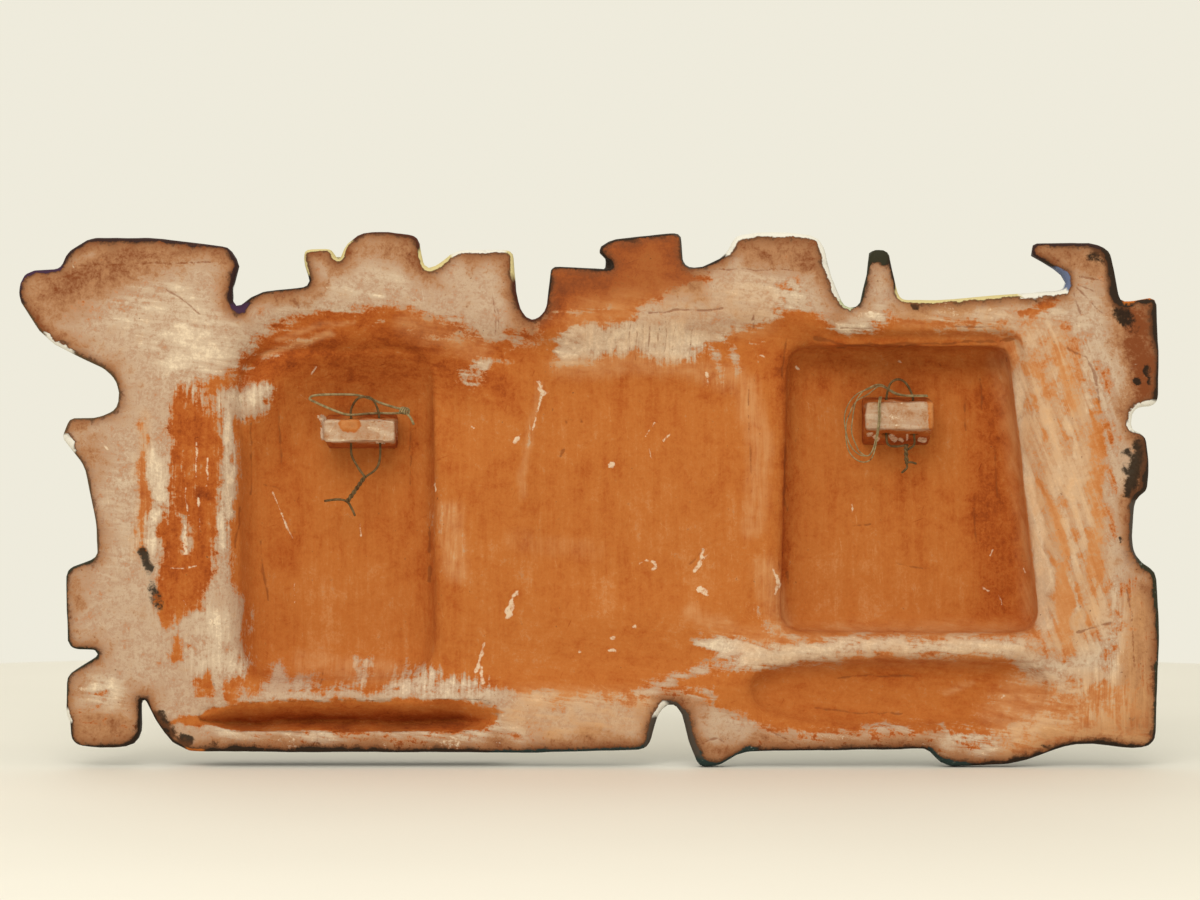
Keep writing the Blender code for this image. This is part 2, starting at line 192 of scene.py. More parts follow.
def bumped(height, depth):
    """The surface direction for this height, where 1 is this many millimetres."""
    return height.node("ShaderNodeBump", {}, {"Height": height, "Strength": 1.0, "Distance": depth * MM})


TABLE_RADIUS = 0.9
UNDER_PANEL = 0.2 * MM
bpy.ops.mesh.primitive_circle_add(
    vertices=128, radius=TABLE_RADIUS, fill_type="NGON",
    location=(panel_middle.x, 0, table_height - UNDER_PANEL),
)
table = bpy.context.object
table.name = "table"
table_finish, table_shader, table_place = new_finish("pale_table")
table_cloud = table_place.grain((300, 300, 300), 1, detail=2)
feed(table_shader, Base_Color=table_cloud.rise(-1, 1).tinted(CREAM_TABLE, PALE_TABLE))
table_shader.inputs["Roughness"].default_value = 0.7
table.data.materials.append(table_finish)


# ---- Relief panel: shape ----
# One heavy slab of red clay, built up by hand into a row of houses and towers on the front and
# scooped thin behind so that it would dry and fire evenly. Everything is soft, dented and uneven.
VOXEL = 1.05
SLAB_SOFTENING = 6
EVEN_TRIANGLES = 128000


def settle(piece):
    """Applies the piece's modifiers."""
    graph = bpy.context.evaluated_depsgraph_get()
    mesh = bpy.data.meshes.new_from_object(piece.evaluated_get(graph))
    piece.modifiers.clear()
    piece.data = mesh


def worked_copy(node, name, voxel, softening):
    """The CAD piece remade in even faces of about one voxel, with its edges softened."""
    piece = bpy.data.objects.new(name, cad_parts[node].data.copy())
    bpy.context.collection.objects.link(piece)
    remesh = piece.modifiers.new("even_faces", "REMESH")
    remesh.mode = "VOXEL"
    remesh.voxel_size = voxel * MM
    soften = piece.modifiers.new("softened", "SMOOTH")
    soften.factor = 0.5
    soften.iterations = softening
    settle(piece)
    return piece


def points_of(piece):
    """Each vertex as (across, up, deep) in millimetres, seen from behind, with its direction likewise."""
    count = len(piece.data.vertices)
    places = np.empty(count * 3, np.float32)
    piece.data.vertices.foreach_get("co", places)
    directions = np.empty(count * 3, np.float32)
    piece.data.vertices.foreach_get("normal", directions)
    places = places.reshape(-1, 3) / MM
    directions = directions.reshape(-1, 3)
    turn = np.array([-1, 1, -1], np.float32)
    return places[:, [0, 2, 1]] * turn, directions[:, [0, 2, 1]] * turn


def set_points(piece, points):
    """Moves the vertices to these points, the reverse of points_of."""
    places = (points * np.array([-1, 1, -1], np.float32))[:, [0, 2, 1]] * MM
    piece.data.vertices.foreach_set("co", places.ravel())
    piece.data.update()


def wander(points, spans, seed):
    """Smooth hand-made unevenness from -1 to 1, whose swells are this many millimetres long."""
    lattice = np.random.default_rng(seed).uniform(-1, 1, (64, 64, 64)).astype(np.float32)
    steps = points / np.array(spans, np.float32)
    low = np.floor(steps).astype(int)
    part = steps - low
    part = part * part * (3 - 2 * part)
    total = np.zeros(len(points), np.float32)
    for i in (0, 1):
        for j in (0, 1):
            for k in (0, 1):
                share = (
                    np.where(i, part[:, 0], 1 - part[:, 0])
                    * np.where(j, part[:, 1], 1 - part[:, 1])
                    * np.where(k, part[:, 2], 1 - part[:, 2])
                )
                cell = (low + (i, j, k)) % 64
                total += share * lattice[cell[:, 0], cell[:, 1], cell[:, 2]]
    return total


def smooth_step(values, low, high):
    """0 at low, 1 at high, and a smooth rise between them; low may be above high."""
    share = np.clip((values - low) / (high - low), 0, 1)
    return share * share * (3 - 2 * share)


def oblong(left, top, right, bottom):
    """The outline of an upright oblong."""
    return [(left, top), (right, top), (right, bottom), (left, bottom)]


MOST_COVER = 2.5


class Surface:
    """The places of a piece's vertices, with masks drawn on them from outlines in millimetres."""

    def __init__(self, points, sway=0.0):
        self.across = points[:, 0] + sway * (
            wander(points, (13, 13, 13), 41) + 0.6 * wander(points, (4.5, 4.5, 4.5), 43)
        )
        self.up = points[:, 1] + sway * (
            wander(points, (13, 13, 13), 42) + 0.6 * wander(points, (4.5, 4.5, 4.5), 44)
        )

    def gap(self, route):
        """How far each vertex is from a line through these points."""
        nearest = np.full(len(self.up), 1e6, np.float32)
        for (a0, u0), (a1, u1) in zip(route, route[1:]):
            run, climb = a1 - a0, u1 - u0
            length = run * run + climb * climb
            share = np.clip(((self.across - a0) * run + (self.up - u0) * climb) / length, 0, 1)
            here = np.hypot(self.across - a0 - share * run, self.up - u0 - share * climb)
            nearest = np.minimum(nearest, here)
        return nearest

    def inset(self, corners):
        """How far each vertex is inside this outline, less than 0 outside it."""
        inside = np.zeros(len(self.up), bool)
        closed = corners + corners[:1]
        for (a0, u0), (a1, u1) in zip(closed, closed[1:]):
            if u0 == u1:
                continue
            beside = self.across < (a1 - a0) * (self.up - u0) / (u1 - u0) + a0
            inside ^= ((u0 > self.up) != (u1 > self.up)) & beside
        gap = self.gap(closed)
        return np.where(inside, gap, -gap)

    def patch(self, corners, soft):
        """1 inside this outline and 0 outside it, over a soft border this wide."""
        return smooth_step(self.inset(corners), -soft / 2, soft / 2)

    def stroke(self, route, width, soft):
        """1 along this route for this width and 0 beyond it, over a soft border this wide."""
        return 1 - smooth_step(self.gap(route), (width - soft) / 2, (width + soft) / 2)

    def cover(self, corners, soft, most):
        """How well this outline is covered: 0 on its border, and 1 more for each soft width inward."""
        return np.clip(self.inset(corners) / soft, -MOST_COVER, most)

    def dragged(self, route, width, soft, most):
        """How well a smear along this route covers, on the same scale."""
        return np.clip((width / 2 - self.gap(route)) / soft, -MOST_COVER, most)


RIM_SLACK = 0.02
RIM_STEP = 0.5


def silhouette(node, depth, hollow):
    """A search tree of points along the edge of the slab, taken from the CAD rim at this depth and
    not from the walls of this hollow.
    """
    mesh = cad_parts[node].data
    places = np.array([vertex.co for vertex in mesh.vertices]) / MM
    on_rim = np.abs(-places[:, 1] - depth) < RIM_SLACK
    spots = []
    for face in mesh.polygons:
        if abs(face.normal.y) > 0.1:
            continue
        for first, second in face.edge_keys:
            if on_rim[first] and on_rim[second]:
                start, end = places[first], places[second]
                steps = max(1, int(np.linalg.norm(end - start) / RIM_STEP))
                spots += [start + (end - start) * step / steps for step in range(steps + 1)]
    spots = np.array(spots)[:, [0, 2, 1]] * (-1, 1, -1)
    spots = spots[Surface(spots).inset(hollow) < 0]
    tree = KDTree(len(spots))
    for index, spot in enumerate(spots):
        tree.insert((spot[0], spot[1], 0), index)
    tree.balance()
    return tree


SLAB_EDGE_ROUND = 2.5
CHANNEL_WALLS = oblong(-226, -198, -58, -224)
rim = silhouette("relief_panel", SLAB_EDGE_ROUND, CHANNEL_WALLS)


def rim_gap(points):
    """How far each vertex is from the edge of the slab, seen square on."""
    return np.array([rim.find((point[0], point[1], 0))[2] for point in points], np.float32)


TURNS_BACK = (0.15, -0.35)
panel = worked_copy("relief_panel", "ceramic_panel", VOXEL, SLAB_SOFTENING)
points, directions = points_of(panel)
from_edge = rim_gap(points)
behind = smooth_step(directions[:, 2], *TURNS_BACK)
clay = Surface(points, 1.0)

# The head of the left hollow was scooped out in one long sweep, with no shoulder.
SCOOP_DEPTH = 32.0
SCOOP_SWEEP = 46.0
SCOOP_BLEND = 12.0
SCOOP_FADES_UP = (-92, -48)
SCOOP_FADES_ACROSS = (-66, -104)
SCOOP_HEAD = [
    (-204, -260), (-203, -50), (-193, -34), (-185, -25), (-166, -13), (-151, -10), (-131, -9),
    (-110, -9), (-92, -14), (-80, -21), (-60, -24), (60, -24), (60, -260),
]
scoop = clay.inset(SCOOP_HEAD)
swept = SCOOP_DEPTH * smooth_step(scoop, 0, SCOOP_SWEEP)
sweep_share = behind * smooth_step(scoop, 0, SCOOP_BLEND)
sweep_share *= smooth_step(clay.up, *SCOOP_FADES_UP)
sweep_share *= smooth_step(clay.across, *SCOOP_FADES_ACROSS)
points[:, 2] += sweep_share * (swept - points[:, 2])
set_points(panel, points)

# Fingers and a loop tool have worn the borders of the hollows round, all but a few crisp ones.
RIGHT_HOLLOW_HEAD = [(104, -27), (150, -27), (192, -27)]
CHANNEL_BORDER = oblong(-222, -202, -60, -226)
RIGHT_HOLLOW_SIDE = [(150, -22), (202, -22), (216, -180), (150, -180)]
WEAR_ROUNDS = 500
WEAR_LEVELS = 10
crisp = clay.stroke(RIGHT_HOLLOW_HEAD, 16, 10)
crisp = np.maximum(crisp, clay.patch(CHANNEL_BORDER, 4))
firm = clay.patch(RIGHT_HOLLOW_SIDE, 30)
worn = behind * smooth_step(from_edge, 5, 14) * (1 - 0.97 * crisp) * (1 - 0.7 * firm)
borders = panel.vertex_groups.new(name="worn_borders")
for level in range(1, WEAR_LEVELS + 1):
    members = np.nonzero(np.round(worn * WEAR_LEVELS) == level)[0]
    borders.add(members.tolist(), level / WEAR_LEVELS, "REPLACE")
wear = panel.modifiers.new("worn_round", "SMOOTH")
wear.factor = 0.5
wear.iterations = WEAR_ROUNDS
wear.vertex_group = "worn_borders"
settle(panel)
panel.vertex_groups.clear()
points, directions = points_of(panel)

# The long channel at the foot was gouged in one stroke: it rises gently above and steeply below, and
# runs out to a point at one end. Between its bounds the slab is only as deep as the tool went.
CHANNEL_HEAD = [(-219, -214), (-200, -208.6), (-180, -205.6), (-160, -205), (-74, -205), (-60, -210)]
CHANNEL_FOOT = [(-219, -214.6), (-205, -219), (-188, -221), (-76, -221), (-60, -212)]
CHANNEL_DEPTH = 17.0
CHANNEL_STEEP = 1.7
CHANNEL_TOOL = 0.78
CHANNEL_BLEND = 5
CHANNEL_START = (-226, -192)
CHANNEL_STOP = (-96, -58)
CHANNEL_SEAM = 0.6
CHANNEL_BOUNDS = [(-226, -198), (-58, -198), (-52, -212), (-58, -227), (-226, -227)]
LOW_RIM = 28.0
clay = Surface(points, 0.8)
head = np.interp(clay.across, *zip(*CHANNEL_HEAD))
foot = np.interp(clay.across, *zip(*CHANNEL_FOOT))
above_foot = (clay.up - foot) / (head - foot)
stopping = smooth_step(clay.across, *CHANNEL_STOP)
gouge = CHANNEL_DEPTH * smooth_step(clay.across, *CHANNEL_START) * (1 - stopping)
across_tool = np.clip((1 - above_foot) / CHANNEL_TOOL, 0, 1) ** CHANNEL_STEEP
gouge = gouge * across_tool * smooth_step(above_foot, -0.05, 0.25)
low_rim = (directions[:, 2] < 0.5) & (points[:, 2] < LOW_RIM)
share = smooth_step(clay.inset(CHANNEL_BOUNDS), 0, CHANNEL_BLEND) * low_rim
points[:, 2] += share * (np.minimum(points[:, 2], CHANNEL_SEAM + gouge) - points[:, 2])
set_points(panel, points)

# Hands left soft swells and dents all over, and the tools longer ones down the hollows.
TURNS_FRONT = (0.3, 0.7)
in_front = smooth_step(directions[:, 2], *TURNS_FRONT)
swell = 0.45 * wander(points, (55, 40, 40), 1) + 0.16 * wander(points, (13, 11, 9), 2)
swell += 0.06 * wander(points, (4.5, 4.5, 4.5), 3)
scooped = smooth_step(points[:, 2], 2, 9) * behind
swell += scooped * 0.30 * wander(points, (6.5, 55, 30), 4)
swell += scooped * 0.14 * wander(points, (3.2, 26, 20), 5)
side = (1 - behind) * (1 - in_front)
swell += side * 0.25 * wander(points, (9, 9, 14), 6)
points += directions * swell[:, None]
set_points(panel, points)

# The front is a row of house fronts. Windows and doors are pressed in, roofs are cut into courses
# of tiles, and a line is cut round each block.
LEFT_HOUSE = [(-208, -34), (-150, -12), (-92, -34), (-90, -204), (-207, -204)]
LEFT_HOUSE_ROOF = [(-212, -33), (-150, -8), (-88, -33), (-88, -56), (-150, -36), (-212, -56)]
RIGHT_HOUSE = [(68, -28), (96, -19), (202, -19), (216, -30), (219, -182), (66, -182)]
RIGHT_HOUSE_ROOF = [(64, -27), (95, -15), (203, -15), (220, -28), (221, -56), (63, -56)]
MIDDLE_HOUSE = [(-60, -36), (2, -26), (60, -36), (60, -166), (-60, -166)]
MIDDLE_HOUSE_ROOF = [(-64, -35), (2, -22), (64, -35), (64, -60), (-64, -60)]
LEFT_QUAY = [(-221, -198), (-60, -198), (-60, -228), (-218, -228)]
RIGHT_QUAY = [(48, -178), (218, -178), (219, -223), (150, -225), (48, -226)]
MIDDLE_QUAY = [(-52, -172), (44, -172), (38, -200), (2, -200), (-2, -226), (-52, -228)]
ARM_ROOF = [(-301, -2), (-282, 6), (-270, 21), (-206, 16), (-207, -30), (-248, -36), (-288, -21)]
WEST_WALL = [(-277, -70), (-250, -68), (-248, -46), (-215, -42), (-214, -128), (-261, -128), (-266, -92)]
WEST_HOUSE = [(-277, -146), (-215, -136), (-215, -175), (-276, -175)]
FOOT_BLOCK = [(-276, -196), (-251, -192), (-251, -222), (-275, -222)]
THIN_TOWER = [(-160, 17), (-151, 17), (-149, -22), (-162, -22)]
DOMED_TOWER = [(-140, 18), (-126, 26), (-108, 23), (-102, -24), (-142, -24)]
DOME = [(-142, 10), (-140, 18), (-126, 26), (-108, 23), (-105, 10)]
FLAT_TOWER = [(-89, 16), (-62, 16), (-60, -26), (-92, -26)]
LOW_TOWER = [(-36, 8), (-16, 7), (-14, -32), (-38, -24)]
TALL_TOWER = [(-12, 19), (21, 24), (23, 5), (26, -32), (-12, -32)]
WHITE_TOWER = [(57, 22), (92, 21), (97, -4), (97, -30), (54, -30)]
SPIRE = [(121.5, 17), (128, 17), (131, -26), (118.5, -26)]
EAST_ROOFS = [(139, -9), (184, -7), (213, -5), (213, -36), (139, -36)]
BEAK_TOWER = [(206, 20), (236, 20), (240, 0), (241, -16), (226, -60), (224, 4)]
EAST_TOWER = [(247, -10), (260, -8), (260, -54), (246, -56), (230, -62)]
EAST_WALL = [(228, -78), (254, -78), (254, -95), (246, -128), (228, -128)]
EAST_HOUSE = [(228, -140), (258, -147), (259, -222), (226, -222)]
BLOCKS = [
    LEFT_HOUSE, RIGHT_HOUSE, MIDDLE_HOUSE, LEFT_QUAY, RIGHT_QUAY, MIDDLE_QUAY, ARM_ROOF, WEST_WALL,
    WEST_HOUSE, FOOT_BLOCK, THIN_TOWER, DOMED_TOWER, FLAT_TOWER, LOW_TOWER, TALL_TOWER, WHITE_TOWER,
    SPIRE, EAST_ROOFS, BEAK_TOWER, EAST_TOWER, EAST_WALL, EAST_HOUSE,
]
TILED = [LEFT_HOUSE_ROOF, RIGHT_HOUSE_ROOF, MIDDLE_HOUSE_ROOF, ARM_ROOF, EAST_ROOFS, DOME]


def opening(across, up, width, height):
    """A window or door with a round head, from its middle and its sill."""
    half = width / 2
    head = [
        (across + half * math.cos(turn), up + height - half + half * math.sin(turn))
        for turn in np.linspace(0, math.pi, 7)
    ]
    return [(across - half, up), (across + half, up)] + head


def row_of(first, last, count, up, width, height):
    """Evenly spaced openings of one size, on one sill."""
    return [opening(across, up, width, height) for across in np.linspace(first, last, count)]


# Rows of windows and doors: (first and last across, how many, sill, width, height).
OPENING_ROWS = [
    (-188, -112, 4, -90, 9, 17), (-188, -112, 4, -122, 9, 17), (-188, -112, 5, -154, 8, 15),
    (-188, -112, 3, -192, 15, 26), (-150, -150, 1, -62, 11, 14), (82, 202, 6, -88, 9, 18),
    (82, 202, 6, -124, 9, 18), (84, 200, 4, -172, 19, 34), (-44, 44, 5, -88, 8, 15),
    (-44, 44, 5, -118, 8, 15), (-42, 42, 3, -160, 18, 30), (-155.5, -155.5, 1, -8, 4, 10),
    (-131, -115, 2, -14, 6, 13), (-83, -69, 2, -12, 6, 13), (-26, -26, 1, -12, 6, 11),
    (-2, 14, 2, 2, 6, 13), (-2, 14, 2, -22, 6, 14), (66, 84, 2, -2, 6, 14), (66, 84, 2, -24, 6, 14),
    (125, 125, 1, -16, 5, 12), (229, 234, 1, -12, 5, 11), (253, 253, 1, -44, 6, 14),
    (238, 238, 1, -112, 7, 15), (237, 250, 2, -176, 6, 14), (237, 250, 2, -208, 6, 14),
    (-265, -228, 3, -168, 7, 15), (-255, -229, 3, -108, 6, 14), (-238, -226, 2, -74, 6, 12),
    (-264, -264, 1, -214, 7, 14),
]
OPENINGS = [each for row in OPENING_ROWS for each in row_of(*row)]

# The front is plainer and keeps fewer faces than the back.
THINNING_LEVELS = 20
FRONT_THINNING = 0.75
BACK_THINNING = 0.07
thinning = FRONT_THINNING - (FRONT_THINNING - BACK_THINNING) * behind
levels = np.round(THINNING_LEVELS * thinning)
coarser = panel.vertex_groups.new(name="coarser")
for level in np.unique(levels):
    members = np.nonzero(levels == level)[0]
    coarser.add(members.tolist(), float(level) / THINNING_LEVELS, "REPLACE")
thin = panel.modifiers.new("fewer_faces", "DECIMATE")
thin.vertex_group = "coarser"
thin.ratio = EVEN_TRIANGLES / (2 * len(panel.data.polygons))
settle(panel)
panel.vertex_groups.clear()

# Fine scratches and cracks, and dabs of slip, need smaller faces than the rest: (width, route).
SCRATCHES_AND_SHADE_LINES = [
    (0.9, [(-278, 12.3), (-266, 12.8), (-252, 12.3)]), (0.9, [(-247, 13.2), (-232, 13), (-210, 13.2)]),
    (1.6, [(-167.5, -4.5), (-166, -9.6)]), (0.6, [(-233.5, 0.6), (-224, -5), (-215.6, -12)]),
    (0.7, [(-186, -97.6), (-175, -101.4)]), (0.9, [(-187.6, -126.8), (-186.6, -142), (-184.4, -156)]),
    (0.8, [(-196.5, -109), (-197.8, -129.3)]), (0.8, [(-156, -192), (-156, -200.8)]),
    (0.8, [(-68.4, -3.2), (-67.2, -22)]), (0.8, [(-66.6, -10), (-66, -20)]),
    (0.8, [(10, -11.6), (28, -10.6), (46, -9.2)]), (0.6, [(42, 9.8), (64, 9.4), (85, 9.9)]),
    (1.0, [(61.7, -12), (61.8, -18.5)]), (1.6, [(-33.4, -81), (-35.9, -85.5)]),
    (1.4, [(-32.2, -65), (-31.6, -66)]), (1.3, [(-24.6, -64.5), (-24.4, -65.8)]),
    # Next line, and the marks from (77.6, -100) and (80.8, -143): partly scratches, partly painted shade on
    # the left wall of the right hollow.
    (1.0, [(78.2, -23.6), (77.9, -44)]), (1.4, [(78.9, -78.5), (79.2, -92), (78.4, -108)]),
    (0.8, [(224, 6.4), (237, 4.2)]), (0.8, [(224, 2.5), (237, -3.2)]), (0.8, [(223.5, 1.2), (236.3, -12)]),
    (0.7, [(222.2, -1.9), (225.4, -12)]), (1.3, [(219, -28.7), (228, -33.8), (232.4, -44), (234.3, -56.8)]),
    # The next mark runs under the top edge of the right hollow: a painted shadow line, cut in like a
    # scratch.
    (1.4, [(92.8, -23.6), (109.3, -28.2), (150, -26.8), (192, -24.9)]),
    (0.9, [(105.5, -19.2), (122, -19.4)]), (0.9, [(163, -18.6), (186, -18.8)]),
    (0.9, [(179.5, -44), (180, -59.3)]), (0.8, [(171, -52), (171.6, -70)]),
    (0.8, [(186, -80), (188, -104)]), (1.1, [(224, -171.4), (233.7, -169.5), (241.4, -165.7)]),
    (0.8, [(248.4, -149.7), (251.5, -168), (252.8, -188)]),
    (1.0, [(105.5, -195.2), (124, -194.4), (143.8, -194)]),
    (0.8, [(92.8, -210), (112, -212), (137.4, -213)]), (0.7, [(136, -138), (151.4, -140.8)]),
    (0.7, [(114.4, -119), (123.4, -118)]), (1.3, [(77.6, -100), (80.2, -110)]),
    (1.3, [(80.8, -143), (80.8, -148.5)]), (1.5, [(-101.6, -119), (-102.2, -131)]),
    (1.8, [(-101.4, -140), (-101.8, -147)]), (0.7, [(30.4, -137), (41.9, -127.4)]),
    (0.9, [(68.7, -220), (85, -227.6)]), (0.8, [(35, -227), (43, -225), (49.5, -228.5)]),
    (0.7, [(-112, -60), (-111.4, -98)]), (0.8, [(-178, -60), (-177.4, -90)]),
    (0.7, [(-191, -66), (-191.6, -102)]), (0.6, [(60, -50), (60.6, -92)]),
    (0.7, [(176, -110), (177, -127)]),
]
SCRATCHES_AND_SHADE_LINES += [
    (0.5, [(start, -15 - 3 * (start % 3)), (start - 1.2, -31 - 2.2 * (start % 2))])
    for start in (0.4, 3.8, 6.8, 10, 14.2, 18.3, 22.4, 26.6, 31.2)
]
DABS = [
    (1.0, [(-277.6, 11.4), (-278.6, 13.6)]), (0.7, [(-268, -73.4), (-261, -81)]),
    (0.7, [(-259, -77), (-249, -86)]), (0.7, [(-181.8, -101.3), (-177.4, -112), (-172.2, -125.5)]),
    (0.9, [(-137.2, -118), (-137, -124)]), (0.6, [(-171, -148.5), (-170.5, -158.7)]),
    (1.3, [(-160.6, -41.3), (-158, -38)]), (1.8, [(-158.6, -63), (-157.4, -66)]),
    (1.2, [(-157.6, -69.4), (-157, -74)]), (2.4, [(-45.6, -46), (-43.6, -53)]),
    (1.1, [(-44.4, -54), (-47.6, -67), (-50.6, -77)]), (2.6, [(-58.4, -75.8), (-55.6, -73)]),
    (1.2, [(-55.6, -73), (-54.2, -71)]), (2.6, [(-9.4, -88), (-7.8, -87.4)]),
    (1.6, [(-98.6, -98), (-97.6, -101)]), (1.2, [(-79.6, -69), (-79, -69.4)]),
    (0.9, [(44.4, -87), (44.6, -88)]), (2.2, [(-57.4, -151), (-59.6, -158), (-60.6, -163)]),
    (1.7, [(-73.4, -177.4), (-75, -184), (-77, -191)]), (1.5, [(-74.4, -190), (-73.4, -197)]),
    (1.6, [(37.6, -131), (34.6, -138), (33, -141)]), (0.9, [(37, -136), (40, -133)]),
    (2.2, [(35.4, -151.2), (39.2, -153.8)]), (1.2, [(72.2, -140.6), (75, -150)]),
    (2.0, [(75, -149), (73.4, -153)]),
    (1.1, [(5, -138), (8, -136.4), (12.2, -137.4), (12.6, -140.4), (9, -142), (5.6, -140.8)]),
    (1.0, [(-10.6, -181), (-5, -180.6)]), (1.8, [(-9.4, -174.8), (-8, -174.6)]),
    (1.6, [(-24.6, -181), (-24.4, -182.4)]), (1.5, [(1, -170), (2.2, -169.6)]),
    (1.2, [(38, -41), (39.6, -48)]), (1.4, [(66, -32), (67.6, -33)]), (1.2, [(85.4, -38), (86, -38.6)]),
    (1.4, [(137.6, -35), (138.2, -35.4)]), (0.7, [(8, -74), (12, -67)]), (0.8, [(10, -80), (11, -85)]),
    (1.3, [(17, -76), (20, -73)]), (0.8, [(180, -150), (183, -152)]), (0.8, [(188, -154), (189.4, -159)]),
    (0.9, [(184.4, -134), (185, -131)]), (1.0, [(200, -139), (201, -142)]),
    (1.0, [(116, -192.4), (117, -193)]), (1.2, [(187.6, -205), (189, -204)]),
    (1.0, [(113, -106), (113.8, -112)]), (0.8, [(-222, -98), (-221, -112)]),
    (0.8, [(-217, -76), (-216.4, -94)]), (1.0, [(-215, -104), (-215.4, -120)]),
    (0.7, [(-229, -139.4), (-216, -138)]), (1.3, [(-223, -118), (-222.8, -131)]),
    (1.0, [(-212, -84), (-211.4, -98)]), (1.0, [(-222.4, -155), (-221.6, -157)]),
]
FINER_ROUNDS = 2
FINE_EDGE = 1.0
FRONT_EDGE = 1.9
NEAR_MARK = 0.8
NEAR_BORDER = 1.2


def nearest_line(surface, lines, waver=0.0):
    """For each vertex, how far it is outside the nearest of these lines, whose width wavers."""
    return np.minimum.reduce([
        surface.gap(route) - width / 2 * (1 + waver) for width, route in lines
    ])


def insets(surface, outlines):
    """How far each vertex is inside the nearest of these outlines, less than 0 outside them all."""
    return np.maximum.reduce([surface.inset(outline) for outline in outlines])


for finer in range(FINER_ROUNDS):
    points, directions = points_of(panel)
    facing_back = directions[:, 2] < 0
    near = (nearest_line(Surface(points, 0.8), SCRATCHES_AND_SHADE_LINES + DABS) < NEAR_MARK) & facing_back
    front = Surface(points, 0.7)
    near_borders = np.minimum.reduce([np.abs(insets(front, some)) for some in (OPENINGS, TILED)])
    near |= (near_borders < NEAR_BORDER) & (directions[:, 2] > 0.5)
    finest = np.where(facing_back, FINE_EDGE, FRONT_EDGE)
    shape = bmesh.new()
    shape.from_mesh(panel.data)
    split = [
        edge for edge in shape.edges
        if (near[edge.verts[0].index] or near[edge.verts[1].index])
        and edge.calc_length() > finest[edge.verts[0].index] * MM
    ]
    bmesh.ops.subdivide_edges(shape, edges=split, cuts=1, use_grid_fill=True)
    bmesh.ops.triangulate(shape, faces=shape.faces)
    shape.to_mesh(panel.data)
    shape.free()
points, directions = points_of(panel)

# The borders of windows and doors are cut through the faces they cross.
in_opening = insets(Surface(points, 0.7), OPENINGS)
facing_front = directions[:, 2] > 0.5
shape = bmesh.new()
shape.from_mesh(panel.data)
crossings = {}
for edge in shape.edges:
    start, end = edge.verts[0].index, edge.verts[1].index
    if in_opening[start] * in_opening[end] < 0 and facing_front[start] and facing_front[end]:
        along = in_opening[start] / (in_opening[start] - in_opening[end])
        if 0.1 < along < 0.9:
            crossings[edge] = float(along)
bmesh.ops.subdivide_edges(shape, edges=list(crossings), cuts=1, edge_percents=crossings)
bmesh.ops.triangulate(shape, faces=shape.faces)
shape.to_mesh(panel.data)
shape.free()
points, directions = points_of(panel)

# Scratches are cut in, dabs stand proud, and each opening has a raised frame.
DAB_PROUD = 0.10
SCRATCH_DEEP = 0.28
OPENING_DEEP = 2.4
FRAME_PROUD = 0.6
LINE_DEEP = 0.9
fine = Surface(points, 0.8)
facing_back = directions[:, 2] < 0
waver = 0.7 * wander(points, (5, 5, 5), 51) + 0.8 * wander(points, (1.7, 1.7, 1.7), 52)
scratch_and_shade_line = np.where(facing_back, 1 - smooth_step(nearest_line(fine, SCRATCHES_AND_SHADE_LINES, waver), -0.45, 0.5), 0)
dab = np.where(facing_back, 1 - smooth_step(nearest_line(fine, DABS, waver), -0.5, 0.5), 0)
points += directions * (DAB_PROUD * dab - SCRATCH_DEEP * scratch_and_shade_line)[:, None]
front = Surface(points, 0.7)
in_opening = insets(front, OPENINGS)
in_block = insets(front, BLOCKS)
carved = OPENING_DEEP * smooth_step(in_opening, -0.2, 1.0)
carved -= FRAME_PROUD * smooth_step(in_opening, -2.6, -1.6) * smooth_step(in_opening, -0.3, -1.0)
carved += LINE_DEEP * smooth_step(np.abs(in_block), 1.4, 0.4)

# Nothing this close to the plane of the back rim belongs to the front.
NEAR_BACK = 6.0
points[:, 2] -= carved * smooth_step(directions[:, 2], *TURNS_FRONT) * (points[:, 2] > NEAR_BACK)
set_points(panel, points)
panel.data.shade_smooth()


# ---- Relief panel: slip, glaze and wear ----
# The bare clay is orange. A thin pinkish slip was brushed over the flat rims behind and dragged
# into the hollows, and the front and edges carry poured glazes that creep round to the back.
points, directions = points_of(panel)
from_edge = rim_gap(points)
clay = Surface(points, 2.0)
tree = BVHTree.FromPolygons(
    [vertex.co for vertex in panel.data.vertices], [face.vertices for face in panel.data.polygons]
)
OFF_FACE = 0.4
away = Vector((0, 1, 0))
seen_behind = np.array([
    tree.ray_cast(vertex.co + vertex.normal * OFF_FACE * MM, away)[0] is None
    for vertex in panel.data.vertices
])
WELL_INSIDE = 4
seen_behind |= (from_edge > WELL_INSIDE) & (points[:, 2] < NEAR_BACK)


def most(masks):
    """The largest of these masks at each vertex."""
    return np.maximum.reduce(list(masks))


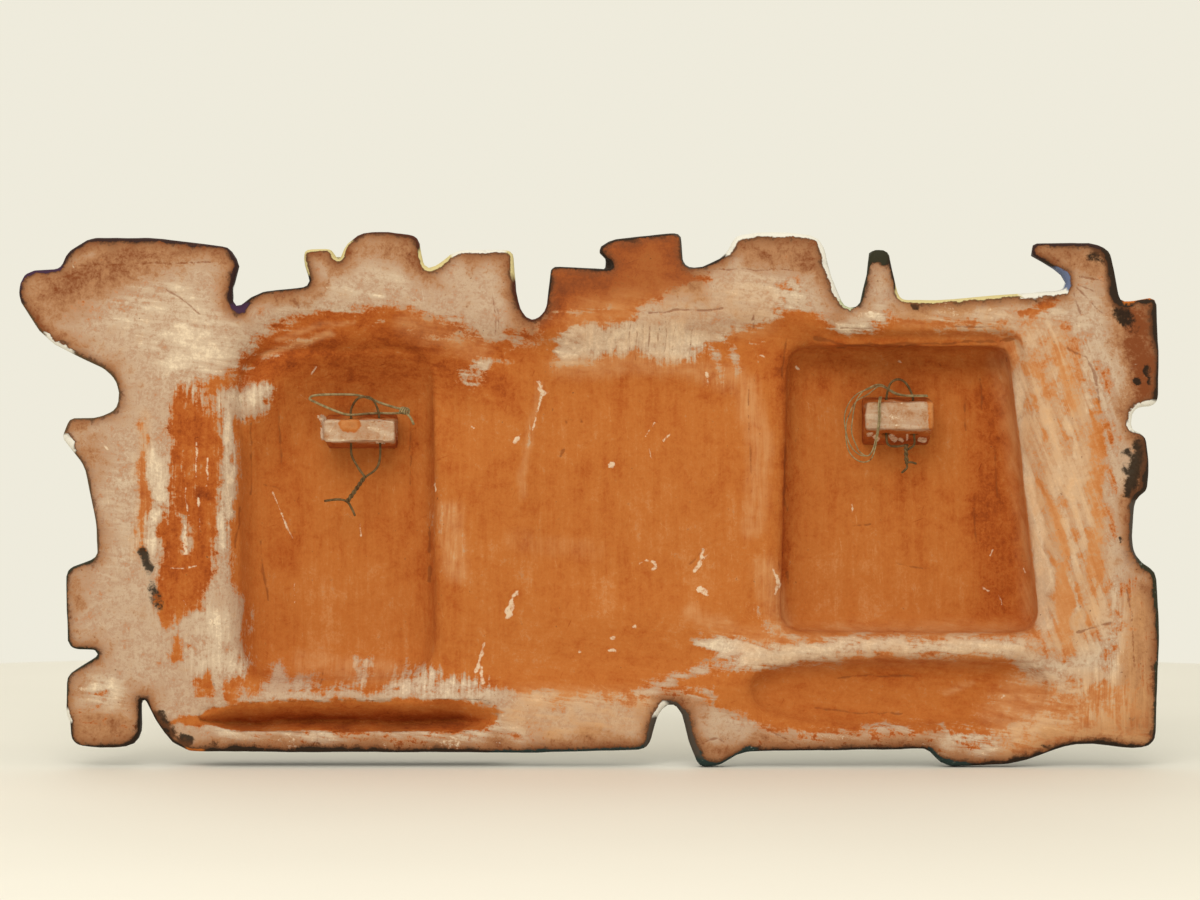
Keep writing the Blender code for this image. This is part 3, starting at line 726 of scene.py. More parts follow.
# Where the slip was left off or wiped away: (how far in soft widths, soft width in mm, outline).
# Every cover is 0 at an outline's border, and the finish breaks the border up.
BARE = [
    (2.5, 5, [
        (-193, -34), (-185, -25), (-176, -19.5), (-166, -14.2), (-151, -11), (-131, -10.2), (-110, -10.2),
        (-102, -12), (-92, -15.3), (-87.5, -18.5), (-80, -22.5), (-72, -25.5), (-63, -26), (-60, -20),
        (-50, -16), (-38, -24), (-38, -38.5), (-25, -36), (-18, -35), (-6.5, -32.5), (6, -31), (14, -36),
        (29, -39), (33, -31), (38, -27.5), (46, -27.5), (52, -19.5), (61, -17.3), (70, -14.7), (85, -10.5),
        (93, -11), (98, -15), (104, -21), (126, -21), (130, -15), (150, -15), (153, -20), (185, -20.5),
        (197, -26), (192, -36), (187.5, -44), (188, -53), (191, -66), (192.5, -76), (194, -90),
        (195.4, -105), (200, -117), (203, -129), (204.4, -138), (205, -151), (205.6, -164),
        (203.7, -171.4), (179.5, -171.6), (131, -172.7), (80, -175), (50, -176), (36, -177), (40, -183),
        (62, -190), (80, -188), (105.5, -185.5), (131, -184.2), (151.4, -183.5), (169.3, -183),
        (188.4, -184.8), (192.2, -189.3), (205, -197), (212.7, -200.8), (210, -206), (205, -212.2),
        (198.6, -216.1), (189.7, -220), (169.3, -223.7), (163, -220.5), (131, -221.2), (93, -220.5),
        (80, -219.3), (63.6, -216.7), (49.5, -211), (38, -206), (19, -202.5), (10, -205), (-4, -204),
        (-18, -205), (-31, -207), (-45, -205), (-60, -201), (-75, -196), (-97, -193), (-115, -196),
        (-134, -200), (-146.7, -196), (-153, -200), (-163, -195), (-171, -194), (-178.6, -190),
        (-184, -193), (-187, -199.5), (-191.4, -202.7), (-195, -197), (-195, -179), (-193.5, -170),
        (-200, -160), (-201, -140), (-200, -120), (-198.5, -100), (-198, -64), (-186, -62), (-184, -47),
        (-192, -42),
    ]),
    (2.0, 4, [
        (-228.4, -54), (-228, -70), (-229, -84), (-231, -98), (-233.5, -110), (-234, -122), (-230, -133),
        (-233, -141), (-236, -152), (-237, -163), (-233, -167), (-228, -160), (-226, -168), (-222, -164),
        (-218, -160), (-213, -160), (-211.5, -150), (-209, -142), (-207, -135), (-206.5, -120),
        (-205.4, -100), (-205.4, -84), (-206, -66), (-204, -52), (-196, -45), (-191, -38), (-200, -38),
        (-209, -42), (-218, -47), (-226, -50),
    ]),
    (1.8, 5, [
        (-50, -17), (-42, 15), (-10, 13), (-20, 22), (-8, 30), (29, 32), (30, 13), (37, 7), (26, 2),
        (12, -2), (3, -8), (-2, -14), (-20, -15.5), (-36, -22), (-38, -30), (-50, -30),
    ]),
    (2.5, 1.6, [
        (-236, -215.4), (-216, -213.5), (-206, -210.5), (-196, -208), (-182, -205), (-160, -204.5),
        (-110, -204), (-75, -206), (-62, -211), (-66, -218), (-75, -221), (-115, -222.3), (-182, -221.6),
        (-205, -219.4), (-236, -217),
    ]),
    (0.1, 3, [(-245, -66), (-242, -68), (-241, -98), (-242, -130), (-246, -130), (-245, -98)]),
    (2.5, 2, [(194, -13.8), (200, -9), (213, -4.4), (217, -5.4), (209, -10.4), (201, -14)]),
    (-0.52, 9, [
        (186, -24), (212, -18), (226, -30), (236, -54), (237, -130), (232, -172), (206, -176), (200, -110),
        (188, -50),
    ]),
    (0.05, 3.0, [
        (230, -54), (235, -55), (236.5, -108), (234.5, -128), (232, -168), (229.5, -168), (228.5, -126),
        (229.5, -104),
    ]),
    (0.5, 4, [(209, -100), (214, -108), (220.5, -128), (219, -136), (213, -126), (210, -112)]),
    (0.1, 4, [(197, -36), (203, -38), (216, -86), (211, -88)]),
    (0.1, 4, [(210, -24), (215, -26), (224, -62), (219, -64)]),
    (0.1, 4, [(200, -96), (205, -96), (212, -136), (207, -138)]),
    (0.2, 4, [(213, -136), (219, -138), (221, -184), (216, -186)]),
    (0.3, 3, [(-217, -190), (-211, -190), (-208, -204), (-215, -204)]),
    (0.3, 3, [(-202, -198), (-197, -198), (-197, -210), (-201, -210)]),
    (0.2, 4, [(-229, -173), (-221, -173), (-221, -186), (-228, -184)]),
    (-0.5, 8, [(78, -2), (104, -6), (104, -14), (78, -12)]),
    (0.0, 5, [(122, -14), (152, -13), (186, -18), (190, -22), (124, -22)]),
    (-0.3, 9, [(60, -228), (130, -232), (190, -234), (220, -224), (190, -226), (120, -226)]),
    (-0.4, 8, [(-200, -228), (-60, -228), (-60, -222), (-200, -224)]),
    (-0.6, 9, [(-276, -204), (-246, -212), (-240, -220), (-246, -230), (-282, -230)]),
    (-0.05, 14, [(214, -208), (262, -196), (264, -230), (180, -238), (196, -222)]),
    (-0.45, 12, [(244, -150), (262, -150), (264, -200), (246, -200)]),
]
# Where slip lies on the bare stretches all the same, by the same measures.
SLIPPED = [
    (1.0, 4, [
        (-207, -49), (-196, -47), (-183, -46), (-184, -62), (-198, -64), (-199, -110), (-206.5, -110),
        (-206, -62),
    ]),
    (0.8, 4, [
        (-206, -120), (-199, -122), (-198, -142), (-192.5, -172), (-192.5, -192), (-220, -192),
        (-223, -176), (-219, -160), (-211, -158), (-209, -138),
    ]),
    (0.2, 3, [(-226, -112), (-221, -114), (-220.6, -130), (-225.4, -131)]),
    (0.2, 4, [(-88, -46), (-85, -38), (-71.5, -36), (-72, -46), (-80, -48)]),
    (1.2, 1.5, [
        (186.5, -40), (191, -47), (189.6, -61), (192, -74), (191.6, -84), (196, -101), (198, -114),
        (203, -129), (205, -150), (205.8, -170), (212, -171), (211, -140), (207, -112), (202, -84),
        (199, -60), (195, -44), (190, -38),
    ]),
    (0.6, 4, [(-140, -184), (-133, -185), (-131.5, -197), (-139, -197)]),
    (0.2, 12, [(-60, -30), (-48, -26), (-42, -10), (-50, -6), (-58, -16)]),
]
slip = -most(clay.cover(outline, soft, limit) for limit, soft, outline in BARE)
slip = np.maximum(slip, most(clay.cover(outline, soft, limit) for limit, soft, outline in SLIPPED))

# Thick pale smears of the same slip, dragged on with the fingers: (cover, width, soft width, route).
SMEARS_AND_PAINTED_LIGHT = [
    (0.7, 9, 5, [(-34, -31), (-14, -28), (0, -26)]),
    (1.35, 11, 4, [(-18, -25), (0, -22), (20, -23), (34, -26)]),
    (0.5, 5, 4, [(-36, -24), (-20, -18), (0, -16)]), (0.9, 7, 4, [(6, -30), (30, -33)]),
    (0.6, 5, 3, [(46, -24), (51, -31), (53, -40)]), (0.4, 5, 3, [(40, -29), (44, -38), (44.5, -46)]),
    (1.2, 3, 2, [(-38, -12), (-22, -8.6), (-10, -8)]), (0.3, 4, 3, [(55, -18), (64, -16), (72, -13)]),
    (0.5, 2.0, 1.4, [(60, -26.4), (66, -25.6), (69, -23.4)]), (0.4, 1.6, 1.4, [(63, -28), (64.6, -37)]),
    (0.4, 2.2, 1.6, [(38, -41), (39.6, -48)]),
    (0.4, 2, 1.6, [(-188.6, -36.4), (-181, -33.4), (-172.4, -30)]),
    (0.5, 2, 1.6, [(-174.6, -28.6), (-161, -24)]), (0.3, 2, 1.6, [(-131, -18.4), (-123, -16.2)]),
    (0.3, 1.6, 1.6, [(-46, -46), (-44, -52), (-48, -66), (-51, -77)]),
    (0.0, 9, 6, [(-83, -43), (-76, -40)]), (0.9, 6, 3, [(-46, -203), (-38, -203)]),
    (0.3, 9, 7, [(-116, -195), (-98, -200), (-70, -199)]), (0.1, 6, 5, [(-112, -190), (-97, -194)]),
    (0.8, 7, 4, [(-4, -203), (12, -200), (20, -196)]), (0.2, 7, 5, [(-32, -207), (-12, -204), (10, -202)]),
    (0.2, 6, 4, [(20, -202), (40, -201)]), (1.2, 9, 4, [(36, -176), (60, -180), (80, -182), (106, -180)]),
    (0.5, 6, 4, [(22, -191), (45, -189), (64, -190)]),
    (0.6, 7, 5, [(100, -178), (130, -177), (160, -178), (196, -179)]),
    (0.7, 7, 5, [(56, -185), (92, -184)]), (0.0, 6, 4, [(60, -160), (75, -163)]),
    (0.2, 7, 5, [(70, -168), (88, -171)]), (-0.2, 12, 8, [(-92, -116), (-90, -138)]),
    (0.7, 7, 4, [(-239, -84), (-236, -106), (-238, -128)]), (0.3, 6, 4, [(-232, -92), (-231, -108)]),
    (0.6, 5, 3, [(-202, -64), (-202, -100), (-204, -128)]),
    (0.5, 12, 8, [(-207, -165), (-210, -184), (-198, -188)]),
    (0.4, 16, 14, [(-230, -36), (-212, -30), (-203, -30)]), (0.3, 16, 14, [(-228, -22), (-214, -26)]),
    # The second smear on the next line is laid thick as painted light on the shaded upper wall of the left
    # hollow.
    (0.2, 10, 8, [(-224, -48), (-208, -56)]), (0.6, 10, 5, [(-196, -53), (-186, -52)]),
    (-0.1, 3, 4, [(-175, -28), (-160, -24)]), (0.0, 2, 2, [(-189, -36), (-172, -31)]),
    (0.1, 3, 2.5, [(-113, -21.5), (-98, -23), (-82, -22.5)]), (0.1, 5, 4, [(-137, -187), (-134, -194)]),
    (0.3, 12, 8, [(-200, -222), (-150, -224), (-60, -224)]),
    (1.3, 7, 2.5, [(194, -48), (196, -78), (203, -106), (208, -130), (210, -150)]),
    (1.0, 4, 2, [(204, -50), (212, -74), (216, -96)]), (0.9, 3.5, 2, [(212, -40), (219, -66), (221, -84)]),
    (1.0, 4, 2, [(214, -100), (220, -130), (222, -160)]), (0.7, 3, 2, [(226, -40), (229, -60)]),
    (0.4, 8, 6, [(204, -60), (212, -86), (214, -104)]), (0.7, 9, 6, [(196, -42), (202, -50)]),
    (0.3, 8, 6, [(222, -86), (226, -110), (224, -140)]), (0.9, 9, 4, [(206, -134), (209, -166)]),
    (0.3, 14, 12, [(228, -185), (238, -175)]), (0.2, 10, 8, [(203, -188), (216, -194)]),
    (0.4, 12, 9, [(92, -225), (140, -225), (176, -228)]), (0.2, 8, 6, [(130, -232), (170, -234)]),
    (0.3, 8, 6, [(106, -19), (124, -12)]), (0.2, 8, 6, [(150, -8), (184, -12)]),
    (0.3, 8, 6, [(196, -28), (208, -20)]), (0.1, 12, 9, [(60, 2), (80, -4)]),
    (0.0, 30, 20, [(-240, -10), (-220, -20)]), (0.5, 12, 8, [(-268, -197), (-258, -202)]),
    (0.1, 14, 12, [(240, -200), (236, -150)]),
    (1.2, 2.6, 1.0, [(-157.5, -63), (-156.6, -69), (-157.2, -75)]), (-0.1, 10, 8, [(-170, -6), (-120, 2)]),
    (-0.2, 26, 20, [(-240, -100), (-256, -120)]), (-0.2, 20, 16, [(216, -4), (226, -20), (244, -50)]),
    (-0.1, 20, 16, [(190, -214), (222, -206)]),
]
smear_and_painted_light = most(clay.dragged(route, width, soft, limit) for limit, width, soft, route in SMEARS_AND_PAINTED_LIGHT)
# It never reached down into the channel or the right hollow: (bare below this depth, outline).
UNREACHED = [
    (2.4, oblong(-230, -200, -50, -226)), (13.5, [(70, -24), (198, -24), (214, -178), (68, -178)]),
]
REACH_SOFT = 1.6
for depth, outline in UNREACHED:
    inside = clay.inset(outline) > 0
    unreached = np.clip((points[:, 2] - depth) / REACH_SOFT, -MOST_COVER, MOST_COVER)
    slip[inside] = np.minimum(slip, -unreached)[inside]
    smear_and_painted_light[inside] = np.minimum(smear_and_painted_light, -unreached)[inside]
# Thin watery slip that the orange clay shows through: (how much, width, soft width, route).
VEILS = [
    (0.30, 34, 16, [(-20, -20), (20, -14), (60, -8)]), (0.40, 14, 12, [(-35, -38), (8, -35), (51, -44)]),
    (0.40, 14, 10, [(60, -50), (66, -80), (62, -118)]), (0.35, 5, 4, [(-45, -49), (-50, -74), (-54, -104)]),
    (0.45, 14, 10, [(-91, -112), (-88, -142)]), (0.22, 12, 10, [(-56, -126), (-18, -132)]),
    (0.40, 10, 8, [(30, -163), (52, -172)]), (0.40, 14, 10, [(68, -140), (76, -168)]),
    (0.46, 42, 18, [(206, -34), (216, -90), (222, -165)]),
    (0.35, 22, 12, [(62, -180), (130, -178), (200, -178)]), (0.45, 26, 12, [(-50, -212), (0, -212)]),
    (0.50, 44, 24, [(200, -216), (256, -212)]), (0.4, 20, 12, [(252, -160), (254, -200)]),
    (0.20, 30, 16, [(-284, -214), (-250, -220)]), (0.35, 12, 8, [(-165, -188), (-118, -192)]),
    (0.50, 3.4, 3, [(-184, -33), (-170, -27), (-150, -21)]),
    (0.40, 3, 3, [(-176, -24), (-158, -18), (-138, -15)]), (0.40, 3, 3, [(158, -203), (172, -197)]),
    (0.30, 10, 6, [(-244, -64), (-243, -96), (-245, -132)]), (0.30, 16, 12, [(-110, -18), (-76, -28)]),
    (0.30, 20, 14, [(140, -12), (190, -16)]),
]
veil = most(much * clay.stroke(route, width, soft) for much, width, soft, route in VEILS)

# How light the bare clay is after firing, with painted shade and painted light: (lighter or darker, how
# soft, outline).
TONES_LIGHT_AND_SHADE = [
    # Painted shade at the head of the left hollow, under the rim.
    (-0.30, 40, [(-200, -5), (-90, -5), (-60, -18), (-62, -52), (-195, -52)]),
    # Painted shade under the top edge of the right hollow.
    (-0.20, 26, [(92, -22), (196, -22), (200, -54), (92, -54)]),
    # Painted light on the left wall of the left hollow, lifting the shade there.
    (0.12, 14, [(-205, -60), (-190, -60), (-188, -180), (-205, -180)]),
    (-0.12, 12, oblong(-112, -60, -98, -175)),
    (-0.28, 10, [(-238, -50), (-206, -44), (-204, -160), (-238, -164)]),
    (-0.26, 12, [(170, -50), (194, -50), (204, -168), (176, -168)]),
    # Painted shade on the left wall of the right hollow.
    (-0.30, 9, [(74, -30), (83, -30), (84, -150), (76, -150)]),
    (0.12, 50, [(-45, -60), (60, -60), (62, -170), (30, -190), (-50, -190)]),
    (0.08, 30, [(-90, -60), (-55, -60), (-60, -180), (-92, -180)]),
    (0.20, 30, [(-175, -140), (-120, -140), (-115, -190), (-180, -190)]),
    (0.18, 30, [(90, -130), (170, -130), (180, -168), (88, -168)]),
    # Painted shade in the channel, on this entry and the next: darkest along its foot, less under its head.
    (-0.34, 5, [
        (-204, -217), (-186, -212.6), (-150, -211.6), (-80, -212), (-72, -216), (-80, -221), (-188, -221),
    ]),
    (-0.12, 6, [(-200, -212), (-180, -205), (-70, -204), (-70, -213), (-190, -214)]),
    (-0.18, 10, [(120, -194), (180, -189), (190, -196), (120, -200)]),
    (-0.25, 14, [(-50, -10), (40, 10), (20, 34), (-50, 20)]),
    (-0.45, 4, [(-217, -99.5), (-209, -99), (-207, -103.5), (-215, -104.5)]),
    # Painted light on the right wall of the right hollow and the flange beside it.
    (0.30, 12, [(190, -40), (226, -30), (236, -60), (238, -170), (206, -172), (200, -110)]),
]
EDGE_BAND = 15
MIDDLE_TONE = 0.5
EDGE_DARKER = 0.4
near_edge = smooth_step(from_edge + 4.0 * wander(points, (11, 11, 11), 11), EDGE_BAND, 0)
# This carries the painted shade and painted light listed above, and darkens towards the edge.
tone_light_and_shade = MIDDLE_TONE + sum(change * clay.patch(outline, soft) for change, soft, outline in TONES_LIGHT_AND_SHADE)
tone_light_and_shade = tone_light_and_shade - EDGE_DARKER * near_edge

# Which way the brush and tool marks run: up, or along a slant; elsewhere they run across.
UPRIGHT = [
    (10, [(-250, -44), (-186, -44), (-60, -60), (-60, -205), (-250, -200)]),
    (10, [(-60, -40), (200, -40), (206, -165), (-60, -165)]),
    (6, [(-25, -16), (40, -14), (40, -40), (-25, -34)]),
    (8, [(224, -50), (262, -60), (262, -220), (224, -220)]),
]
SLANTED = [
    (8, [
        (176, -30), (206, -14), (244, -24), (246, -60), (240, -186), (200, -186), (190, -110),
        (178, -60),
    ]),
]
upright = most(clay.patch(outline, soft) for soft, outline in UPRIGHT)
slanted = most(clay.patch(outline, soft) for soft, outline in SLANTED)

# Where the fire browned the slip, as it did along the glazed edges: (how much, how soft, outline).
BROWNED = [
    (1.05, 30, [(-306, -4), (-285, 14), (-262, 16), (-236, 8), (-262, -2), (-286, -16)]),
    (0.7, 14, [(-280, 6), (-262, 24), (-200, 22), (-200, 12), (-262, 12)]),
    (0.75, 12, [(-282, -208), (-246, -212), (-246, -232), (-282, -232)]),
    (1.5, 22, [(242, -8), (268, -4), (266, -58), (250, -60), (246, -30)]),
    (0.85, 16, [(196, 24), (244, 24), (248, -10), (234, 2), (218, 10), (198, 12)]),
    (0.65, 16, [(235, -220), (265, -200), (264, -232), (210, -238), (180, -240)]),
    (1.0, 14, [(50, 30), (98, 30), (104, 6), (60, 10), (48, 20)]),
    (1.1, 18, [(-50, -8), (36, -2), (36, 36), (-50, 36)]),
    (0.7, 14, [(-140, 30), (-105, 28), (-104, 8), (-140, 18)]),
    (0.7, 10, [(-92, 20), (-58, 20), (-56, -10), (-66, 10)]),
    (0.15, 20, [(116, 20), (130, 20), (134, -6), (112, -8)]), (0.5, 8, oblong(116, 22, 132, 10)),
    (0.5, 16, [(-283, -72), (-262, -66), (-258, -90), (-270, -110)]),
    (0.5, 12, [(-283, -142), (-266, -136), (-266, -150), (-283, -178)]),
    (0.8, 16, [(250, -140), (265, -146), (264, -226), (250, -224)]),
    (0.5, 10, [(-240, -222), (-60, -228), (-60, -234), (-240, -234)]),
]
# Edges that it browned less: (how soft, outline).
EDGE_BROWNED = 0.95
MILDER_BY = 0.45
LESS_BROWNED = [
    (30, oblong(-300, -30, -236, -236)), (6, [(110, 16), (136, 16), (138, -10), (108, -10)]),
]
mild = most(clay.patch(outline, soft) for soft, outline in LESS_BROWNED)
browned = sum(much * clay.patch(outline, soft) for much, soft, outline in BROWNED)
browned = np.maximum((EDGE_BROWNED - MILDER_BY * mild) * near_edge, browned)
# Soot and drips of dark glaze: (cover, width, soft width, route).
SOOT = [
    (0.9, 5.5, 2.6, [(-243, -131), (-240.5, -139)]), (-0.1, 3, 3, [(-240, -141), (-239, -148)]),
    (0.1, 5.5, 3.5, [(-238.5, -150), (-235.5, -155.5)]), (-0.3, 4, 4, [(-223, -115), (-221, -118)]),
    (0.6, 1.4, 0.8, [(-250.5, -136), (-250, -136)]), (0.9, 8, 4, [(256, -78), (253, -90), (250, -99)]),
    (0.8, 6, 3, [(258, -84), (257, -100)]), (0.6, 3, 2, [(246, -88), (250, -90)]),
    (0.8, 3, 2, [(247, -83), (254, -82)]), (0.5, 9, 3, [(244, -10), (248, -15)]),
    (0.0, 5, 4, [(249, -18), (253, -22)]), (1.5, 4.2, 1.0, [(141.8, -7.3), (142.4, -7.5)]),
    (1.4, 3.4, 1.0, [(252.2, -45), (252.3, -46.6)]), (1.2, 3.2, 1.0, [(257, -39), (257.2, -41)]),
    (1.0, 3, 1.0, [(258.2, -43.8), (258.4, -45.6)]), (1.2, 2.4, 1.0, [(245.6, -125), (246, -126.5)]),
    (0.5, 8, 4.5, [(233, 20), (240, 16), (243, 2)]), (0.3, 6, 4, [(230, 17), (240, 12)]),
    (0.2, 3, 2, [(207, -229.5), (210, -230.5)]), (0.1, 6, 4, [(251, -100), (256, -101)]),
    (0.3, 5, 3, [(260, -62), (258, -74)]), (0.2, 4, 3, [(262, -10), (264, -40), (262, -56)]),
    (2.0, 5, 1.3, [(-224, -225.5), (-219, -227.4)]), (1.0, 3, 1.6, [(-210, -228.4), (-206, -229)]),
    (0.8, 8, 4, [(-236, -213), (-231, -222)]),
]
soot = most(clay.dragged(route, width, soft, limit) for limit, width, soft, route in SOOT)

# Poured glazes, wherever they show: (colour, flecks, how far it creeps round the edge, outline).
AUBERGINE = (0.034, 0.014, 0.012)
SOOT_BLACK = (0.027, 0.015, 0.008)
UMBER = (0.100, 0.060, 0.026)
BOTTLE = (0.028, 0.026, 0.013)
TEAL = (0.040, 0.085, 0.076)
DEEP_TEAL = (0.020, 0.036, 0.033)
CHESTNUT = (0.075, 0.020, 0.008)
OCHRE = (0.42, 0.27, 0.05)
STRAW = (0.62, 0.52, 0.25)
CELADON = (0.50, 0.52, 0.33)
MILK = (0.74, 0.71, 0.64)
SMOKE = (0.068, 0.052, 0.040)
SLATE_BLUE = (0.12, 0.15, 0.26)
BURNT_ORANGE = (0.52, 0.14, 0.015)
PLUM = (0.050, 0.020, 0.048)
GLAZES = [
    (SOOT_BLACK, 0.2, 0.9, oblong(-320, 40, 280, -250)),
    (AUBERGINE, 0.1, 2.0, [(-320, 40), (-196, 40), (-190, -20), (-240, -30), (-320, -20)]),
    (UMBER, 0.2, 0.5, [(-312, -4), (-296, -8), (-262, -20), (-246, -50), (-256, -62), (-312, -62)]),
    (PLUM, 0.1, 2.4, oblong(-308, 12, -285, 2)), (PLUM, 0.1, 2.6, oblong(-206, -6, -190, -18)),
    (AUBERGINE, 0.1, 3.6, [(-204, 20), (-190, 20), (-190, -5), (-203, -5)]),
    (STRAW, 0.6, 0.9, oblong(-168, 26, -138, 8)), (CHESTNUT, 0.1, 1.6, oblong(-139, 34, -104, 22)),
    (STRAW, 0.2, 1.5, oblong(-106, 26, -56, 2)), (MILK, 0.5, 1.8, oblong(-90, 24, -64, 15)),
    (CHESTNUT, 0.3, 1.1, oblong(-62, 5, -40, -18)), (SOOT_BLACK, 0.2, 0.9, oblong(-44, 34, 32, 6)),
    (SMOKE, 0.4, 1.4, oblong(24, 34, 34, 8)),
    (MILK, 0.1, 2.3, [(46, 36), (105, 36), (112, -12), (90, -12), (46, 18)]),
    (CELADON, 0.2, 2.0, oblong(103, -2, 115, -12)), (BOTTLE, 0.4, 4.0, oblong(115, 26, 131, 12.5)),
    (BOTTLE, 0.4, -0.3, [(112, 12), (123, 12), (120, -12), (112, -12)]),
    (STRAW, 0.2, 1.7, oblong(134, 6, 196, -10)), (MILK, 0.1, 4.6, oblong(195, 6, 220, -8)),
    (SLATE_BLUE, 0.9, 2.6, oblong(206, 12, 222, 0)), (AUBERGINE, 0.1, 2.0, oblong(198, 28, 245, 16)),
    (SOOT_BLACK, 0.7, 3.6, [(236, 22), (250, 22), (250, -8), (238, -8)]),
    (BURNT_ORANGE, 0.1, 2.6, oblong(247, 4, 268, -6)), (SOOT_BLACK, 0.6, 2.4, oblong(256, -6, 270, -60)),
    (MILK, 0.9, 3.6, oblong(248, -55, 264, -72)),
    (SOOT_BLACK, 0.2, 2.2, [(250, -72), (270, -72), (270, -104), (246, -104)]),
    (SMOKE, 0.5, 2.4, oblong(246, -104, 262, -138)),
    (BOTTLE, 0.9, 2.2, [(254, -134), (272, -134), (272, -232), (256, -232)]),
    (DEEP_TEAL, 0.8, 2.4, oblong(150, -226, 170, -245)),
    (SOOT_BLACK, 0.5, 2.2, [(170, -226), (268, -222), (268, -245), (170, -245)]),
    (DEEP_TEAL, 0.9, 2.8, oblong(30, -226, 62, -245)), (SMOKE, 0.6, 2.6, oblong(6, -200, 34, -234)),
    (DEEP_TEAL, 0.8, 1.6, oblong(-72, -226, 8, -240)),
    # On the next two entries the black glaze creeps wide round the foot: partly the glaze, partly painted
    # shade for the dark underside.
    (SOOT_BLACK, 0.3, 2.4, oblong(-210, -222, -70, -240)),
    (SOOT_BLACK, 0.3, 3.0, oblong(-232, -205, -210, -240)),
    (SOOT_BLACK, 0.7, 1.6, oblong(-290, -206, -240, -236)),
    (SOOT_BLACK, 0.4, 0.4, oblong(-252, -206, -240, -222)),
    (BOTTLE, 0.7, 0.8, oblong(-290, -134, -262, -206)), (UMBER, 0.3, 0.3, oblong(-290, -60, -252, -134)),
    (MILK, 0.0, 4.4, [(-292, -20), (-279, -25), (-279, -36), (-292, -30)]),
    (MILK, 0.0, 3.6, oblong(-286, -73, -276, -82)), (MILK, 0.0, 2.2, oblong(-290, -208, -276, -217)),
    (MILK, 0.0, 2.6, oblong(11, -206, 18, -214)), (BURNT_ORANGE, 0.0, 2.8, oblong(-222, -226, -213, -236)),
]
WALL_CREAM = (0.62, 0.52, 0.33)
ROOF_RED = (0.26, 0.045, 0.018)
PALE_BLUE = (0.36, 0.44, 0.47)
YELLOW_OCHRE = (0.52, 0.31, 0.06)
TERRACOTTA = (0.42, 0.13, 0.035)
BLUE_GREY = (0.085, 0.105, 0.125)
WET_BROWN = (0.040, 0.024, 0.014)
# The glazes of the front, each laid over the ones before it: (colour, flecks, outline).
FRONT_GLAZES = [
    (BLUE_GREY, 0.5, [
        (-211, -26), (-191, -13), (-162, -4), (-105, -4), (-76, -14), (-57, -25), (-40, -25), (-28, -12),
        (48, -8), (96, -15), (213, -13), (223, -45), (223, -170), (215, -206), (33, -203), (-206, -207),
    ]),
    (AUBERGINE, 0.4, ARM_ROOF), (BOTTLE, 0.9, WEST_WALL), (BOTTLE, 0.8, WEST_HOUSE),
    (SOOT_BLACK, 0.5, FOOT_BLOCK),
    (OCHRE, 0.3, THIN_TOWER), (OCHRE, 0.4, DOMED_TOWER), (CHESTNUT, 0.2, DOME), (STRAW, 0.3, FLAT_TOWER),
    (BOTTLE, 0.4, LOW_TOWER), (SMOKE, 0.5, TALL_TOWER), (MILK, 0.2, WHITE_TOWER), (BOTTLE, 0.5, SPIRE),
    (STRAW, 0.4, EAST_ROOFS), (SLATE_BLUE, 0.6, BEAK_TOWER), (BURNT_ORANGE, 0.3, EAST_TOWER),
    (SOOT_BLACK, 0.9, EAST_WALL), (BOTTLE, 0.9, EAST_HOUSE), (WALL_CREAM, 0.3, LEFT_HOUSE),
    (ROOF_RED, 0.2, LEFT_HOUSE_ROOF), (PALE_BLUE, 0.5, RIGHT_HOUSE), (TERRACOTTA, 0.2, RIGHT_HOUSE_ROOF),
    (YELLOW_OCHRE, 0.4, MIDDLE_HOUSE), (ROOF_RED, 0.3, MIDDLE_HOUSE_ROOF), (WET_BROWN, 0.5, LEFT_QUAY),
    (TEAL, 0.9, RIGHT_QUAY), (TEAL, 0.6, MIDDLE_QUAY),
]
FRONT_START = 12.6
GLAZE_SPILL = 2.2
glaze_colour = np.zeros((len(points), 4), np.float32)
creep = np.zeros(len(points), np.float32)
for colour, flecks, reach, outline in GLAZES:
    inside = clay.inset(outline) > 0
    glaze_colour[inside] = (*colour, flecks)
    creep[inside] = reach
on_front = ~seen_behind & ((points[:, 2] > FRONT_START) | (directions[:, 2] > 0.3))
front = Surface(points, 0.7)
for colour, flecks, outline in FRONT_GLAZES:
    spill = 0 if outline in TILED else GLAZE_SPILL
    inside = on_front & (front.inset(outline) > -spill)
    glaze_colour[inside] = (*colour, flecks)
LINE_WIDTH = 1.6
NO_LINE = -6
ALL_GLAZE = -20.0
SURE_GLAZE = -3.0
ROUND_SHARE = 0.6
from_line = np.abs(insets(front, BLOCKS)) - LINE_WIDTH / 2
tiled = insets(front, TILED)
from_line = np.minimum(from_line, np.abs(tiled) - LINE_WIDTH / 2)
drawn = np.where(on_front, np.maximum(insets(front, OPENINGS), -from_line), NO_LINE)
tiled = np.where(on_front, tiled, NO_LINE)
round_edge = smooth_step(from_edge, 4, 2)
creep *= 0.75 + 0.55 * wander(points, (16, 16, 16), 12) + 0.4 * wander(points, (4, 4, 4), 13)
glaze_depth = np.maximum(from_edge - ROUND_SHARE * points[:, 2] * round_edge - creep, SURE_GLAZE)
glaze_depth = np.where(seen_behind, glaze_depth, ALL_GLAZE)


def write(piece, name, values):
    """Stores one value, three or four for each vertex, for the finish to read."""
    width = 1 if values.ndim == 1 else values.shape[1]
    kind = {1: "FLOAT", 3: "FLOAT_VECTOR", 4: "FLOAT_COLOR"}[width]
    field = {1: "value", 3: "vector", 4: "color"}[width]
    attribute = piece.data.attributes.new(name, kind, "POINT")
    attribute.data.foreach_set(field, np.ascontiguousarray(values, np.float32).ravel())


